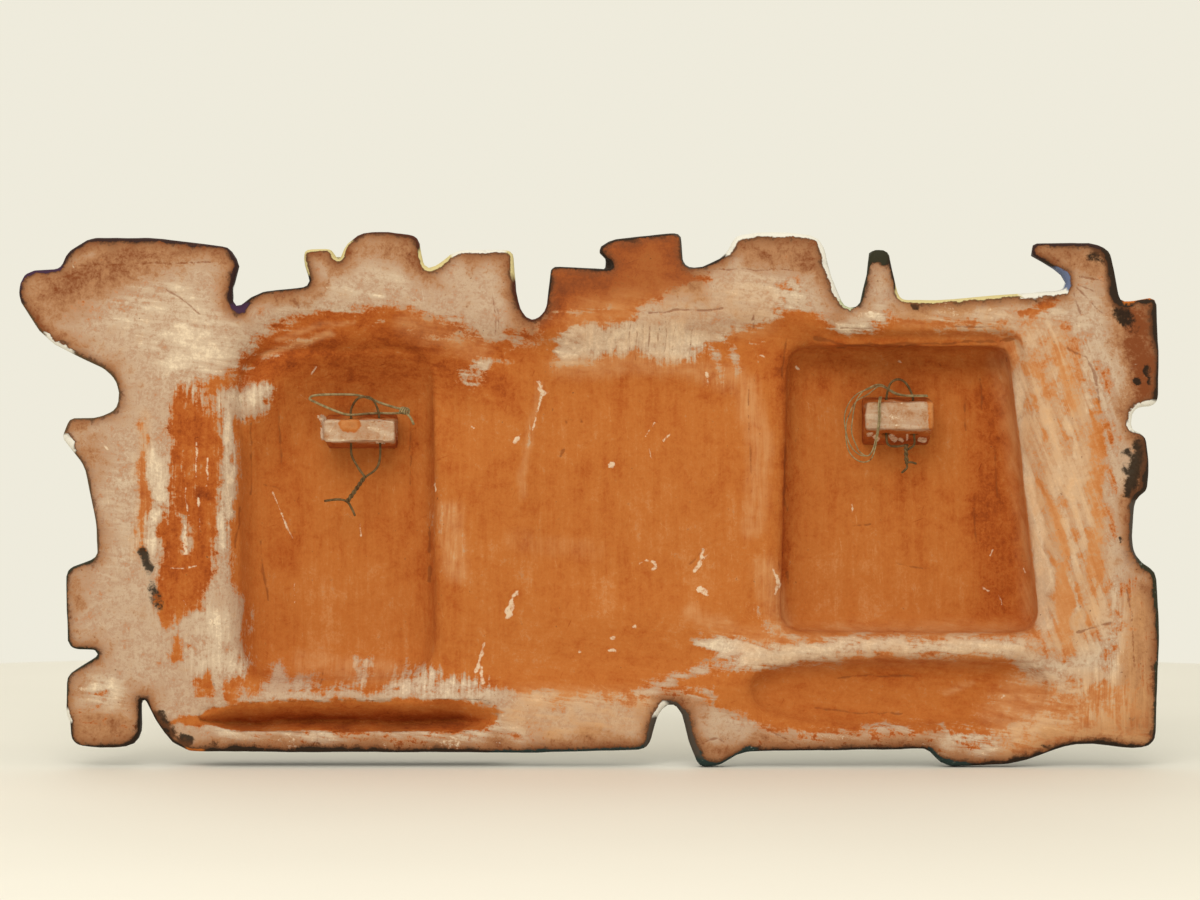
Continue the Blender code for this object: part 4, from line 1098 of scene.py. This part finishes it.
laid_on_panel = {
    "scratch_and_shade_line": scratch_and_shade_line, "dab": dab, "slip": slip, "smear_and_painted_light": smear_and_painted_light, "tone_light_and_shade": tone_light_and_shade, "soot": soot, "veil": veil,
    "brushing": np.stack([upright, slanted, np.clip(browned, 0, 1.5)], axis=1),
    "glaze_colour": glaze_colour, "glaze_depth": glaze_depth,
    "drawn": np.clip(drawn, NO_LINE, -NO_LINE), "tiled": np.clip(tiled, NO_LINE, -NO_LINE),
}
for layer, values in laid_on_panel.items():
    write(panel, layer, values)


def stored(place, name, output="Fac"):
    """What write() stored on the piece under this name."""
    return place.node("ShaderNodeAttribute", {"attribute_name": name}, {}, output)


def turned(place, degrees):
    """The place turned in the plane of the panel."""
    return place.node(
        "ShaderNodeVectorRotate", {"rotation_type": "Y_AXIS"},
        {"Vector": place, "Angle": math.radians(degrees)},
    )


def clay_finish(name):
    """Fired clay with its slip, glaze and dirt laid out by the attributes of the piece it is on."""
    finish, shader, place = new_finish(name)
    slant = turned(place, -20)
    run_up = place.node("ShaderNodeSeparateXYZ", {}, {0: stored(place, "brushing", "Vector")}, 0)
    run_slant = Shade(run_up.socket.node.outputs[1])
    brown = Shade(run_up.socket.node.outputs[2])
    across_marks = turned(place, 7).grain((19, 30, 3.0), 1, detail=3, rough=0.6, warp=0.5)
    upright_marks = place.grain((2.3, 30, 24), 2, detail=3, rough=0.62, warp=0.5)
    slant_marks = slant.grain((4.0, 30, 48), 3, detail=4, rough=0.6, warp=0.4)
    marks = across_marks + (upright_marks - across_marks) * run_up
    marks = marks + (slant_marks - marks) * run_slant
    bands = place.grain((7, 40, 70), 9, detail=2)
    crumbs = place.grain((1.4, 1.4, 1.4), 4, detail=4, rough=0.75)
    mottle = place.grain((5, 5, 5), 5, detail=4, rough=0.75, warp=0.5)
    cloud = place.grain((30, 30, 30), 6, detail=3, rough=0.6)
    blotch = place.grain((13, 13, 13), 7, detail=3, rough=0.6, warp=0.8)
    scratched_and_shaded = stored(place, "scratch_and_shade_line")
    dabbed = stored(place, "dab")

    # Short hairline scratches run every way, pale where they only mark the slip and dark where deep.
    HAIRLINE = (0.55, 20, 10)
    hair_breaks = place.grain((14, 14, 14), 21, detail=1)
    hairs = [
        turned(place, angle).grain(HAIRLINE, 30 + angle, detail=1, warp=0.15)
        for angle in (-52, -8, 24, 71)
    ]
    first, second = [(hair + hair_breaks * 0.4).rise(0.85, 1.2) for hair in hairs[:2]]
    pale_hairs = first + second
    first, second = [(hair - hair_breaks * 0.4).rise(0.95, 1.3) for hair in hairs[2:]]
    dark_hairs = first + second

    # Bare clay: orange, down to dark red where it is darkest, as in the painted shade of the channel, and
    # paler where fingers have wiped slip thin.
    DARK_CLAY_AND_SHADE = (0.150, 0.024, 0.004, 1)
    RED_CLAY = (0.370, 0.080, 0.011, 1)
    ORANGE_CLAY = (0.470, 0.146, 0.029, 1)
    PALE_CLAY = (0.560, 0.235, 0.080, 1)
    BROWNED_CLAY = (0.240, 0.078, 0.028, 1)
    fired_light_and_shade = stored(place, "tone_light_and_shade") + cloud * 0.17 + bands * run_up * 0.18 + marks * 0.15
    fired_light_and_shade = fired_light_and_shade + mottle * 0.24 + crumbs * 0.24 + blotch * 0.20 + pale_hairs * 0.25 - dark_hairs * 0.4
    bare_colour = fired_light_and_shade.rise(-0.50, 0.28).tinted(DARK_CLAY_AND_SHADE, RED_CLAY)
    bare_colour = fired_light_and_shade.rise(0.00, 0.68).tinted(bare_colour, ORANGE_CLAY)
    bare_colour = fired_light_and_shade.rise(0.60, 1.25).tinted(bare_colour, PALE_CLAY)
    bare_colour = (brown * 0.4).tinted(bare_colour, BROWNED_CLAY)

    # Slip over it: the thicker it lies the paler it is, from a stain to thick cream. Its borders and
    # the smears break up along the marks of the brush.
    STAINED_CLAY = (0.520, 0.225, 0.090, 1)
    PINK_SLIP = (0.432, 0.266, 0.172, 1)
    BUFF_SLIP = (0.562, 0.425, 0.304, 1)
    THICK_SLIP = (0.765, 0.620, 0.450, 1)
    WATERY_SLIP = (0.620, 0.335, 0.150, 1)
    RUSTY_SLIP = (0.390, 0.190, 0.090, 1)
    BROWN_SLIP = (0.200, 0.055, 0.016, 1)
    SOOT_STAIN = (0.014, 0.011, 0.007, 1)
    GRIT = (0.10, 0.030, 0.012, 1)
    CUT_CLAY_AND_SHADE = (0.200, 0.052, 0.012, 1)
    torn = marks * 0.55 + blotch * 0.34 + (mottle * 0.26 + crumbs * 0.12) * (1 - run_slant * 0.7)
    slip_cover = (stored(place, "slip") + torn).rise(-0.75, 0.80)
    smear_and_light_cover = (stored(place, "smear_and_painted_light") + torn * 1.3).rise(-0.45, 1.0)
    thickness = slip_cover * 0.66 + smear_and_light_cover * (0.62 - slip_cover * 0.22) + cloud * 0.11 + blotch * 0.11
    thickness = thickness + mottle * 0.24 + crumbs * 0.22 + marks * (0.12 - slip_cover * 0.07)
    thickness = thickness + pale_hairs * 0.16 - dark_hairs * 0.20
    slip_here = thickness.rise(0.14, 0.50)
    slip_colour = thickness.rise(0.30, 0.58).tinted(STAINED_CLAY, PINK_SLIP)
    slip_colour = thickness.rise(0.48, 0.88).tinted(slip_colour, BUFF_SLIP)
    browning = brown + mottle * 0.46 + blotch * 0.42 + cloud * 0.18 + crumbs * 0.34
    slip_colour = browning.rise(0.05, 0.75).tinted(slip_colour, RUSTY_SLIP)
    slip_colour = browning.rise(0.55, 1.45).tinted(slip_colour, BROWN_SLIP)
    slip_colour = (thickness - brown * 0.2).rise(0.86, 1.30).tinted(slip_colour, THICK_SLIP)
    clay_colour = slip_here.tinted(bare_colour, slip_colour)
    veiled = (stored(place, "veil") * (1 + marks * 0.45 + blotch * 0.35)).rise(0.02, 1.0)
    clay_colour = veiled.tinted(clay_colour, WATERY_SLIP)
    dabs_here = (dabbed + crumbs * 0.4 + mottle * 0.35).rise(0.45, 1.15)
    clay_colour = (dabs_here * 0.8).tinted(clay_colour, THICK_SLIP)
    # Dark cut lines: scratches, and painted shade lines on the left wall and head of the right hollow.
    scratches_and_shade_lines_here = (scratched_and_shaded * 1.1 + mottle * 0.5 + crumbs * 0.3).rise(0.35, 1.15)
    clay_colour = (scratches_and_shade_lines_here * 0.6).tinted(clay_colour, CUT_CLAY_AND_SHADE)

    # Dark grit and pinholes, never evenly strewn, pale flecks of slip, and soot.
    specks = place.grain((2.0, 2.0, 2.0), 8, detail=2)
    grit = (crumbs + mottle * 0.6 + specks * 0.9).rise(1.0, 1.45)
    clay_colour = (grit * 0.75).tinted(clay_colour, GRIT)
    flecks = (specks - mottle * 0.6 - cloud * 0.25 + crumbs * 0.5 - brown * 0.5).rise(1.4, 1.8)
    clay_colour = (flecks * 0.65).tinted(clay_colour, THICK_SLIP)
    soot_here = (stored(place, "soot") + crumbs * 0.35 + mottle * 0.55 + blotch * 0.3).rise(-0.25, 0.45)
    clay_colour = (soot_here * 0.93).tinted(clay_colour, SOOT_STAIN)

    # Glaze: glossy, pooled dark or thin, with flecks of another glaze fired into it. Where it ends on
    # the back it has scorched a narrow ragged fringe of the clay.
    SINGED_CLAY = (0.190, 0.066, 0.024, 1)
    SCORCHED_CLAY = (0.060, 0.024, 0.011, 1)
    FLECK_GLAZE = (0.42, 0.47, 0.40, 1)
    THIN_GLAZE = (0.260, 0.095, 0.035, 1)
    POOLED_GLAZE = (0.030, 0.022, 0.018, 1)
    LINE_GLAZE = (0.018, 0.012, 0.010, 1)
    from_glaze = stored(place, "glaze_depth") + mottle * 0.9 + crumbs * 0.4
    glazed = from_glaze.rise(0.35, -0.35)
    ragged = mottle * 1.3 + blotch * 1.2 + crumbs * 0.9
    fringe = (from_glaze + ragged).rise(5.5, 0.0)
    clay_colour = (fringe * 0.55).tinted(clay_colour, SINGED_CLAY)
    scorch = (from_glaze + ragged * 0.8).rise(2.0, -0.2)
    clay_colour = (scorch * 0.75).tinted(clay_colour, SCORCHED_CLAY)
    glaze = stored(place, "glaze_colour", "Color")
    fleck_share = stored(place, "glaze_colour", "Alpha")
    glaze_flecks = (crumbs * 0.5 + mottle * 0.4 + fleck_share * 0.9).rise(0.95, 1.35)
    glaze_tone = (glaze_flecks * 0.8).tinted(glaze, FLECK_GLAZE)
    ran_thin = (cloud * 0.5 + blotch * 0.6 + mottle * 0.35).rise(0.35, 1.0)
    glaze_tone = (ran_thin * 0.5).tinted(glaze_tone, THIN_GLAZE)
    pooled = (mottle * 0.5 + blotch * 0.6 + crumbs * 0.2).rise(-0.2, -0.9)
    glaze_tone = (pooled * 0.4).tinted(glaze_tone, POOLED_GLAZE)
    drawn = (stored(place, "drawn") + mottle * 0.3 + crumbs * 0.2).rise(-0.5, 0.4)
    glaze_tone = (drawn * 0.9).tinted(glaze_tone, LINE_GLAZE)

    # Roof tiles on the front: each course is a slope that ends in a dark step.
    TILE_COURSE = 6.5
    up_roof = place.node("ShaderNodeSeparateXYZ", {}, {0: place}, 2) * (1000 / TILE_COURSE) + mottle * 0.12
    course = up_roof.math("FRACT")
    tiles = stored(place, "tiled").rise(0.0, 1.2)
    glaze_tone = (tiles * course.rise(0.72, 0.96) * 0.7).tinted(glaze_tone, LINE_GLAZE)
    surface_colour = glazed.tinted(clay_colour, glaze_tone)
    poured = stored(place, "glaze_depth").rise(-3, -8)
    roughness = 0.88 - glazed * 0.20 - poured * 0.40 + glaze_flecks * glazed * 0.15
    relief = marks * 0.05 + crumbs * 0.07 + mottle * 0.06
    relief = relief * (1 - glazed) + glazed * (0.25 + mottle * 0.04 - tiles * course * 1.1)
    shader.inputs["Specular IOR Level"].default_value = 0.14
    feed(shader, Base_Color=surface_colour, Roughness=roughness, Coat_Weight=poured * glazed * 0.7)
    feed(shader, Normal=bumped(relief, 0.8))
    shader.inputs["Coat Roughness"].default_value = 0.08
    return finish


slipped_and_glazed_clay = clay_finish("slipped_and_glazed_clay")
panel.data.materials.clear()
panel.data.materials.append(slipped_and_glazed_clay)
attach(panel, "root")
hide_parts("relief_panel")


# ---- Pierced lugs ----
# Two blocks of the same clay, pierced upright with two holes and bonded with slip inside the deep
# hollows. Their pale faces are scraped and chipped, and crumbs of white bonding cling round them.
LUG_VOXEL = 0.5
LUG_FACE = 7.6
LUG_BED = 12.0
LUG_BROWNED = 0.35
BARE_COVER = -MOST_COVER
NO_GLAZE = 20.0


def pierced_lug(node, name, smears, bonding, bright, seed):
    """One lug: dented, slipped on the face that shows and bare on its sides and underside."""
    lug = worked_copy(node, name, LUG_VOXEL, 5)
    points, directions = points_of(lug)
    dents = 0.62 * wander(points, (10, 8, 7), seed) + 0.34 * wander(points, (3.4, 3, 3), seed + 1)
    points += directions * dents[:, None] * smooth_step(points[:, 2], 30, 26)[:, None]
    set_points(lug, points)
    lug.data.shade_smooth()
    face = Surface(points, 0.5)
    slip = np.where(points[:, 2] < LUG_FACE, 0.45, BARE_COVER)
    slip = np.maximum(slip, 0.6 - (points[:, 2] - LUG_FACE) / 3)
    smear_and_painted_light = most(face.dragged(route, width, soft, limit) for limit, width, soft, route in smears)
    lit = face.stroke(*bright)
    none = np.zeros(len(points))
    laid_on_lug = {
        "scratch_and_shade_line": none, "dab": most(face.stroke(route, width, 0.8) for width, route in bonding),
        "slip": slip - 2.6 * lit, "smear_and_painted_light": smear_and_painted_light - 1.5 * lit, "soot": none + BARE_COVER, "veil": none,
        # Lower down the lug, towards the hollow floor, its clay is painted darker as painted shade.
        "tone_light_and_shade": 0.28 + 0.75 * lit - 0.3 * smooth_step(points[:, 2], LUG_BED, 28),
        "brushing": np.stack([none, none, none + LUG_BROWNED], axis=1),
        "glaze_colour": np.zeros((len(points), 4)), "glaze_depth": none + NO_GLAZE,
        "drawn": none + BARE_COVER, "tiled": none + BARE_COVER,
    }
    for layer, values in laid_on_lug.items():
        write(lug, layer, values)
    lug.data.materials.clear()
    lug.data.materials.append(slipped_and_glazed_clay)
    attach(lug, "root")
    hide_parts(node)


pierced_lug(
    "hanging_lug_left", "pierced_lug_left",
    [
        (1.0, 2.2, 1.2, [(-153, -75.6), (-136, -75.4), (-119, -75.6)]),
        (0.6, 1.8, 1.2, [(-153, -66), (-119, -65.6)]),
        (0.6, 3, 1.6, [(-119.4, -66), (-119, -75)]), (0.5, 4, 2, [(-130, -69), (-122, -72)]),
        (0.3, 4, 3, [(-151, -70), (-147, -72)]),
    ],
    [(1.2, [(-128, -76), (-124, -76.4)]), (1.0, [(-150, -75.8), (-145, -75.6)])],
    ([(-142.6, -67.4), (-138.6, -67.6)], 6, 3.5), 61,
)
pierced_lug(
    "hanging_lug_right", "pierced_lug_right",
    [
        (-0.1, 8, 5, [(121, -60), (136, -61), (150, -60)]), (0.4, 1.6, 1.2, [(122, -67.6), (148, -68)]),
    ],
    [
        (2.6, [(132.4, -73.2), (134.8, -74.8)]), (2.4, [(147.2, -74.8), (150, -75.2)]),
        (2.0, [(120.4, -72.6), (122, -72.4)]), (2.2, [(124, -73.6), (125.6, -74.6)]),
        (1.6, [(137, -74.6), (139, -75.6)]), (1.2, [(140, -72.4), (141, -75)]),
    ],
    ([(151, -57), (152, -68)], 3.4, 3.4), 71,
)


# ---- Wires ----
# Soft iron wire, rusted dark where it is threaded through the lugs and weathered grey-green in the
# loops that hung on nails. Each is bent by hand and its ends are twisted together with pliers.
ROUTE_STEP = 0.45
STRAND_SIDES = 10
LEFT_LUG = (-135.8, -70.5)
RIGHT_LUG = (135.5, -62.8)
LEFT_FIXING = [
    (2.3, -23.5, 14), (-1.5, -18, 14), (-4.6, -12, 15.5), (-4.8, -4, 16), (-4.8, 5, 16),
    (-4.7, 11, 15), (-1, 16.4, 13.5), (5.2, 16.6, 13.5), (8.6, 11, 15), (9.4, 5, 16),
    (9.7, -4, 16), (9.8, -13, 15.5), (8, -19, 14.5), (2.4, -23.4, 14),
]
LEFT_TWIST = [(2.6, -22.6, 14), (-2.2, -29.5, 13.5), (-6.8, -36, 13)]
LEFT_ENDS = [(-18.2, -35.4, 12), (-11, -34.6, 12.6), (-6.6, -35.8, 13), (-4.2, -39.4, 13), (-2.6, -43, 13)]
LEFT_LOOP = [
    (22.8, 9.2, 11.5), (16, 8.8, 18), (10.5, 8.9, 19.5), (4, 8.7, 18), (-1, 8.2, 13), (-7, 8.2, 9.5),
    (-14.3, 10.8, 8.5), (-22, 14.2, 9), (-25.4, 16.2, 11.5), (-22, 18, 14.5), (-7, 18.4, 18),
    (1, 17.4, 18.5), (10.8, 13.8, 19), (18, 11.6, 16), (23.4, 10.6, 11.8),
]
LEFT_TAIL = [(23, 9.4, 11), (25.4, 6.6, 10.6), (27.2, 3, 10.2)]
RIGHT_FIXING = [
    (4, -15, 16), (-1, -15.6, 16.5), (-5, -14.5, 16.2), (-5.9, -9, 16), (-5.9, 4, 16),
    (-5.7, 10.5, 15), (-3.8, 16.4, 13.6), (0, 18.2, 13), (3.8, 16.2, 13.6), (7, 10.5, 15),
    (7.9, 4, 16), (8.1, -9, 16), (8.2, -14.5, 16.2), (5, -17.2, 16),
]
RIGHT_TWIST = [(4.2, -14.4, 16), (4, -19, 15.4), (4.3, -24.3, 15)]
RIGHT_ENDS = [(9.3, -24.4, 14.4), (6.6, -23.6, 14.8), (4.4, -24, 15), (4.4, -26.4, 15), (1.6, -29, 14.6)]
RIGHT_LOOP = [
    (14.5, 9.8, 10), (5.5, 9.9, 10), (1, 10.4, 12.5), (-2.2, 11.6, 16.5), (-9, 15.2, 17),
    (-15, 12.6, 14), (-22, 7, 10), (-25.2, -1.8, 7.5), (-25.6, -10, 6), (-23.5, -17.6, 5),
    (-19.4, -21.4, 4.6), (-15.5, -21.4, 4.2), (-13, -17.6, 3.8), (-11.4, -11, 3.6),
    (-10.4, -2, 3.6), (-10.5, 4.6, 4), (-10, 8.4, 6), (-9.6, 9.8, 8.5),
]


def smooth_route(middle, route):
    """Close-set points along a smooth line through the route, which is measured from this middle."""
    knots = np.array(route, float) + (*middle, 0)
    before = np.vstack([2 * knots[0] - knots[1], knots, 2 * knots[-1] - knots[-2]])
    line = []
    for p0, p1, p2, p3 in zip(before, before[1:], before[2:], before[3:]):
        steps = max(2, int(np.linalg.norm(p2 - p1) / ROUTE_STEP))
        for step in range(steps):
            t = step / steps
            bend = 2 * p0 - 5 * p1 + 4 * p2 - p3
            twist = 3 * p1 - p0 - 3 * p2 + p3
            line.append((2 * p1 + (p2 - p0) * t + bend * t * t + twist * t ** 3) / 2)
    line.append(knots[-1])
    return np.array(line)


def side_frames(line):
    """Two directions square to the line at each of its points, which don't spin round it."""
    ahead = np.gradient(line, axis=0)
    ahead /= np.linalg.norm(ahead, axis=1)[:, None]
    side = np.cross(ahead[0], (0.3, 0.2, 1.0))
    sides = []
    for direction in ahead:
        side = side - direction * np.dot(side, direction)
        side = side / np.linalg.norm(side)
        sides.append(side)
    sides = np.array(sides)
    return sides, np.cross(ahead, sides)


def laid(line, apart, pitch, share):
    """One strand of several twisted round this line; share is where it starts in the turn."""
    sides, ups = side_frames(line)
    run = np.concatenate([[0], np.cumsum(np.linalg.norm(np.diff(line, axis=0), axis=1))])
    turn = 2 * math.pi * (run / pitch + share)
    return line + apart * (np.cos(turn)[:, None] * sides + np.sin(turn)[:, None] * ups)


def strand(corners, faces, line, thickness):
    """Adds a round strand along this line, with domed ends and a slightly uneven thickness."""
    sides, ups = side_frames(line)
    radius = thickness / 2 * (1 + 0.09 * wander(line, (2.5, 2.5, 2.5), 81))
    run = np.arange(len(line))
    radius *= np.minimum(1, (np.minimum(run, run[::-1]) + 0.35) ** 0.5)
    start = len(corners)
    for place, side, up, size in zip(line, sides, ups, radius):
        for spoke in range(STRAND_SIDES):
            angle = 2 * math.pi * spoke / STRAND_SIDES
            corners.append(place + size * (math.cos(angle) * side + math.sin(angle) * up))
    for ring in range(len(line) - 1):
        here = start + ring * STRAND_SIDES
        for spoke in range(STRAND_SIDES):
            beyond = (spoke + 1) % STRAND_SIDES
            next_ring = here + STRAND_SIDES
            faces.append((here + spoke, here + beyond, next_ring + beyond, next_ring + spoke))
    faces.append(tuple(range(start + STRAND_SIDES - 1, start - 1, -1)))
    faces.append(tuple(range(len(corners) - STRAND_SIDES, len(corners))))


def wire_piece(node, name, strands, finish):
    """One wire piece made of these (line, thickness) strands."""
    corners, faces = [], []
    for line, thickness in strands:
        strand(corners, faces, line, thickness)
    mesh = bpy.data.meshes.new(name)
    places = np.array(corners) * (-1, 1, -1)
    mesh.from_pydata((places[:, [0, 2, 1]] * MM).tolist(), [], faces)
    mesh.update()
    shape = bmesh.new()
    shape.from_mesh(mesh)
    bmesh.ops.recalc_face_normals(shape, faces=shape.faces)
    shape.to_mesh(mesh)
    shape.free()
    mesh.shade_smooth()
    mesh.materials.append(finish)
    piece = bpy.data.objects.new(name, mesh)
    bpy.context.collection.objects.link(piece)
    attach(piece, "root")
    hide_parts(node)


RUST = (0.095, 0.030, 0.010, 1)


def iron_finish(name, dark, pale, rust_share):
    """Dull iron: a dark skin with paler worn or weathered patches and specks of rust."""
    finish, shader, place = new_finish(name)
    patches = place.grain((2.4, 2.4, 2.4), 3, detail=4)
    pits = place.grain((0.5, 0.5, 0.5), 4, detail=3)
    colour = (patches + pits * 0.4).rise(-0.5, 0.7).tinted(dark, pale)
    rust = (place.grain((3.5, 3.5, 3.5), 5, detail=4) + pits * 0.5 + rust_share).rise(0.5, 1.0)
    colour = (rust * 0.8).tinted(colour, RUST)
    feed(shader, Base_Color=colour, Normal=bumped(pits, 0.08))
    feed(shader, Roughness=0.70 + rust * 0.22, Metallic=0.06 - rust * 0.05)
    shader.inputs["Specular IOR Level"].default_value = 0.1
    return finish


dark_iron = iron_finish("dark_iron_wire", (0.100, 0.060, 0.024, 1), (0.180, 0.115, 0.050, 1), 0.30)
grey_iron = iron_finish("grey_iron_wire", (0.205, 0.150, 0.070, 1), (0.370, 0.285, 0.145, 1), 0.1)

FIXING_WIRE = 1.2
PLIER_PITCH = 5.0


def fixing_wire(node, name, middle, route, twist, ends):
    """Wire through both holes of a lug, whose two ends are twisted together and then splayed."""
    tail = smooth_route(middle, twist)
    strands = [(smooth_route(middle, route), FIXING_WIRE), (smooth_route(middle, ends), FIXING_WIRE)]
    for share in (0, 0.5):
        strands.append((laid(tail, FIXING_WIRE * 0.46, PLIER_PITCH, share), FIXING_WIRE))
    wire_piece(node, name, strands, dark_iron)


fixing_wire("lug_wire_left", "fixing_wire_left", LEFT_LUG, LEFT_FIXING, LEFT_TWIST, LEFT_ENDS)
fixing_wire("lug_wire_right", "fixing_wire_right", RIGHT_LUG, RIGHT_FIXING, RIGHT_TWIST, RIGHT_ENDS)

LEFT_LOOP_WIRE = 1.25
KNOT_TURNS = 3.5
KNOT_RADIUS = 1.5
knot_line = smooth_route(LEFT_LUG, [(20.6, 10.4, 13.2), (24.6, 9.6, 10.6)])
left_loop = [
    (smooth_route(LEFT_LUG, LEFT_LOOP), LEFT_LOOP_WIRE),
    (smooth_route(LEFT_LUG, LEFT_TAIL), LEFT_LOOP_WIRE),
]
fine_knot = np.array([knot_line[0] + (knot_line[-1] - knot_line[0]) * step / 60 for step in range(61)])
knot_pitch = np.linalg.norm(knot_line[-1] - knot_line[0]) / KNOT_TURNS
left_loop.append((laid(fine_knot, KNOT_RADIUS, knot_pitch, 0), 1.0))
wire_piece("hanging_loop_left", "wire_loop_left", left_loop, grey_iron)

# The right loop is three finer wires lying together, which part where the loop hangs slack.
FINE_WIRE = 0.62
slack = smooth_route(RIGHT_LUG, RIGHT_LOOP)
parting = 0.45 + 1.9 * smooth_step(-slack[:, 0], -127, -116)
right_loop = []
for number in range(3):
    own = laid(slack, 1.0, 84 + 12 * number, number / 3) - slack
    own += 0.4 * np.stack([wander(slack, (9, 9, 9), 90 + 3 * number + axis) for axis in range(3)], axis=1)
    right_loop.append((slack + own * parting[:, None], FINE_WIRE))
wire_piece("hanging_loop_right", "wire_loop_right", right_loop, grey_iron)
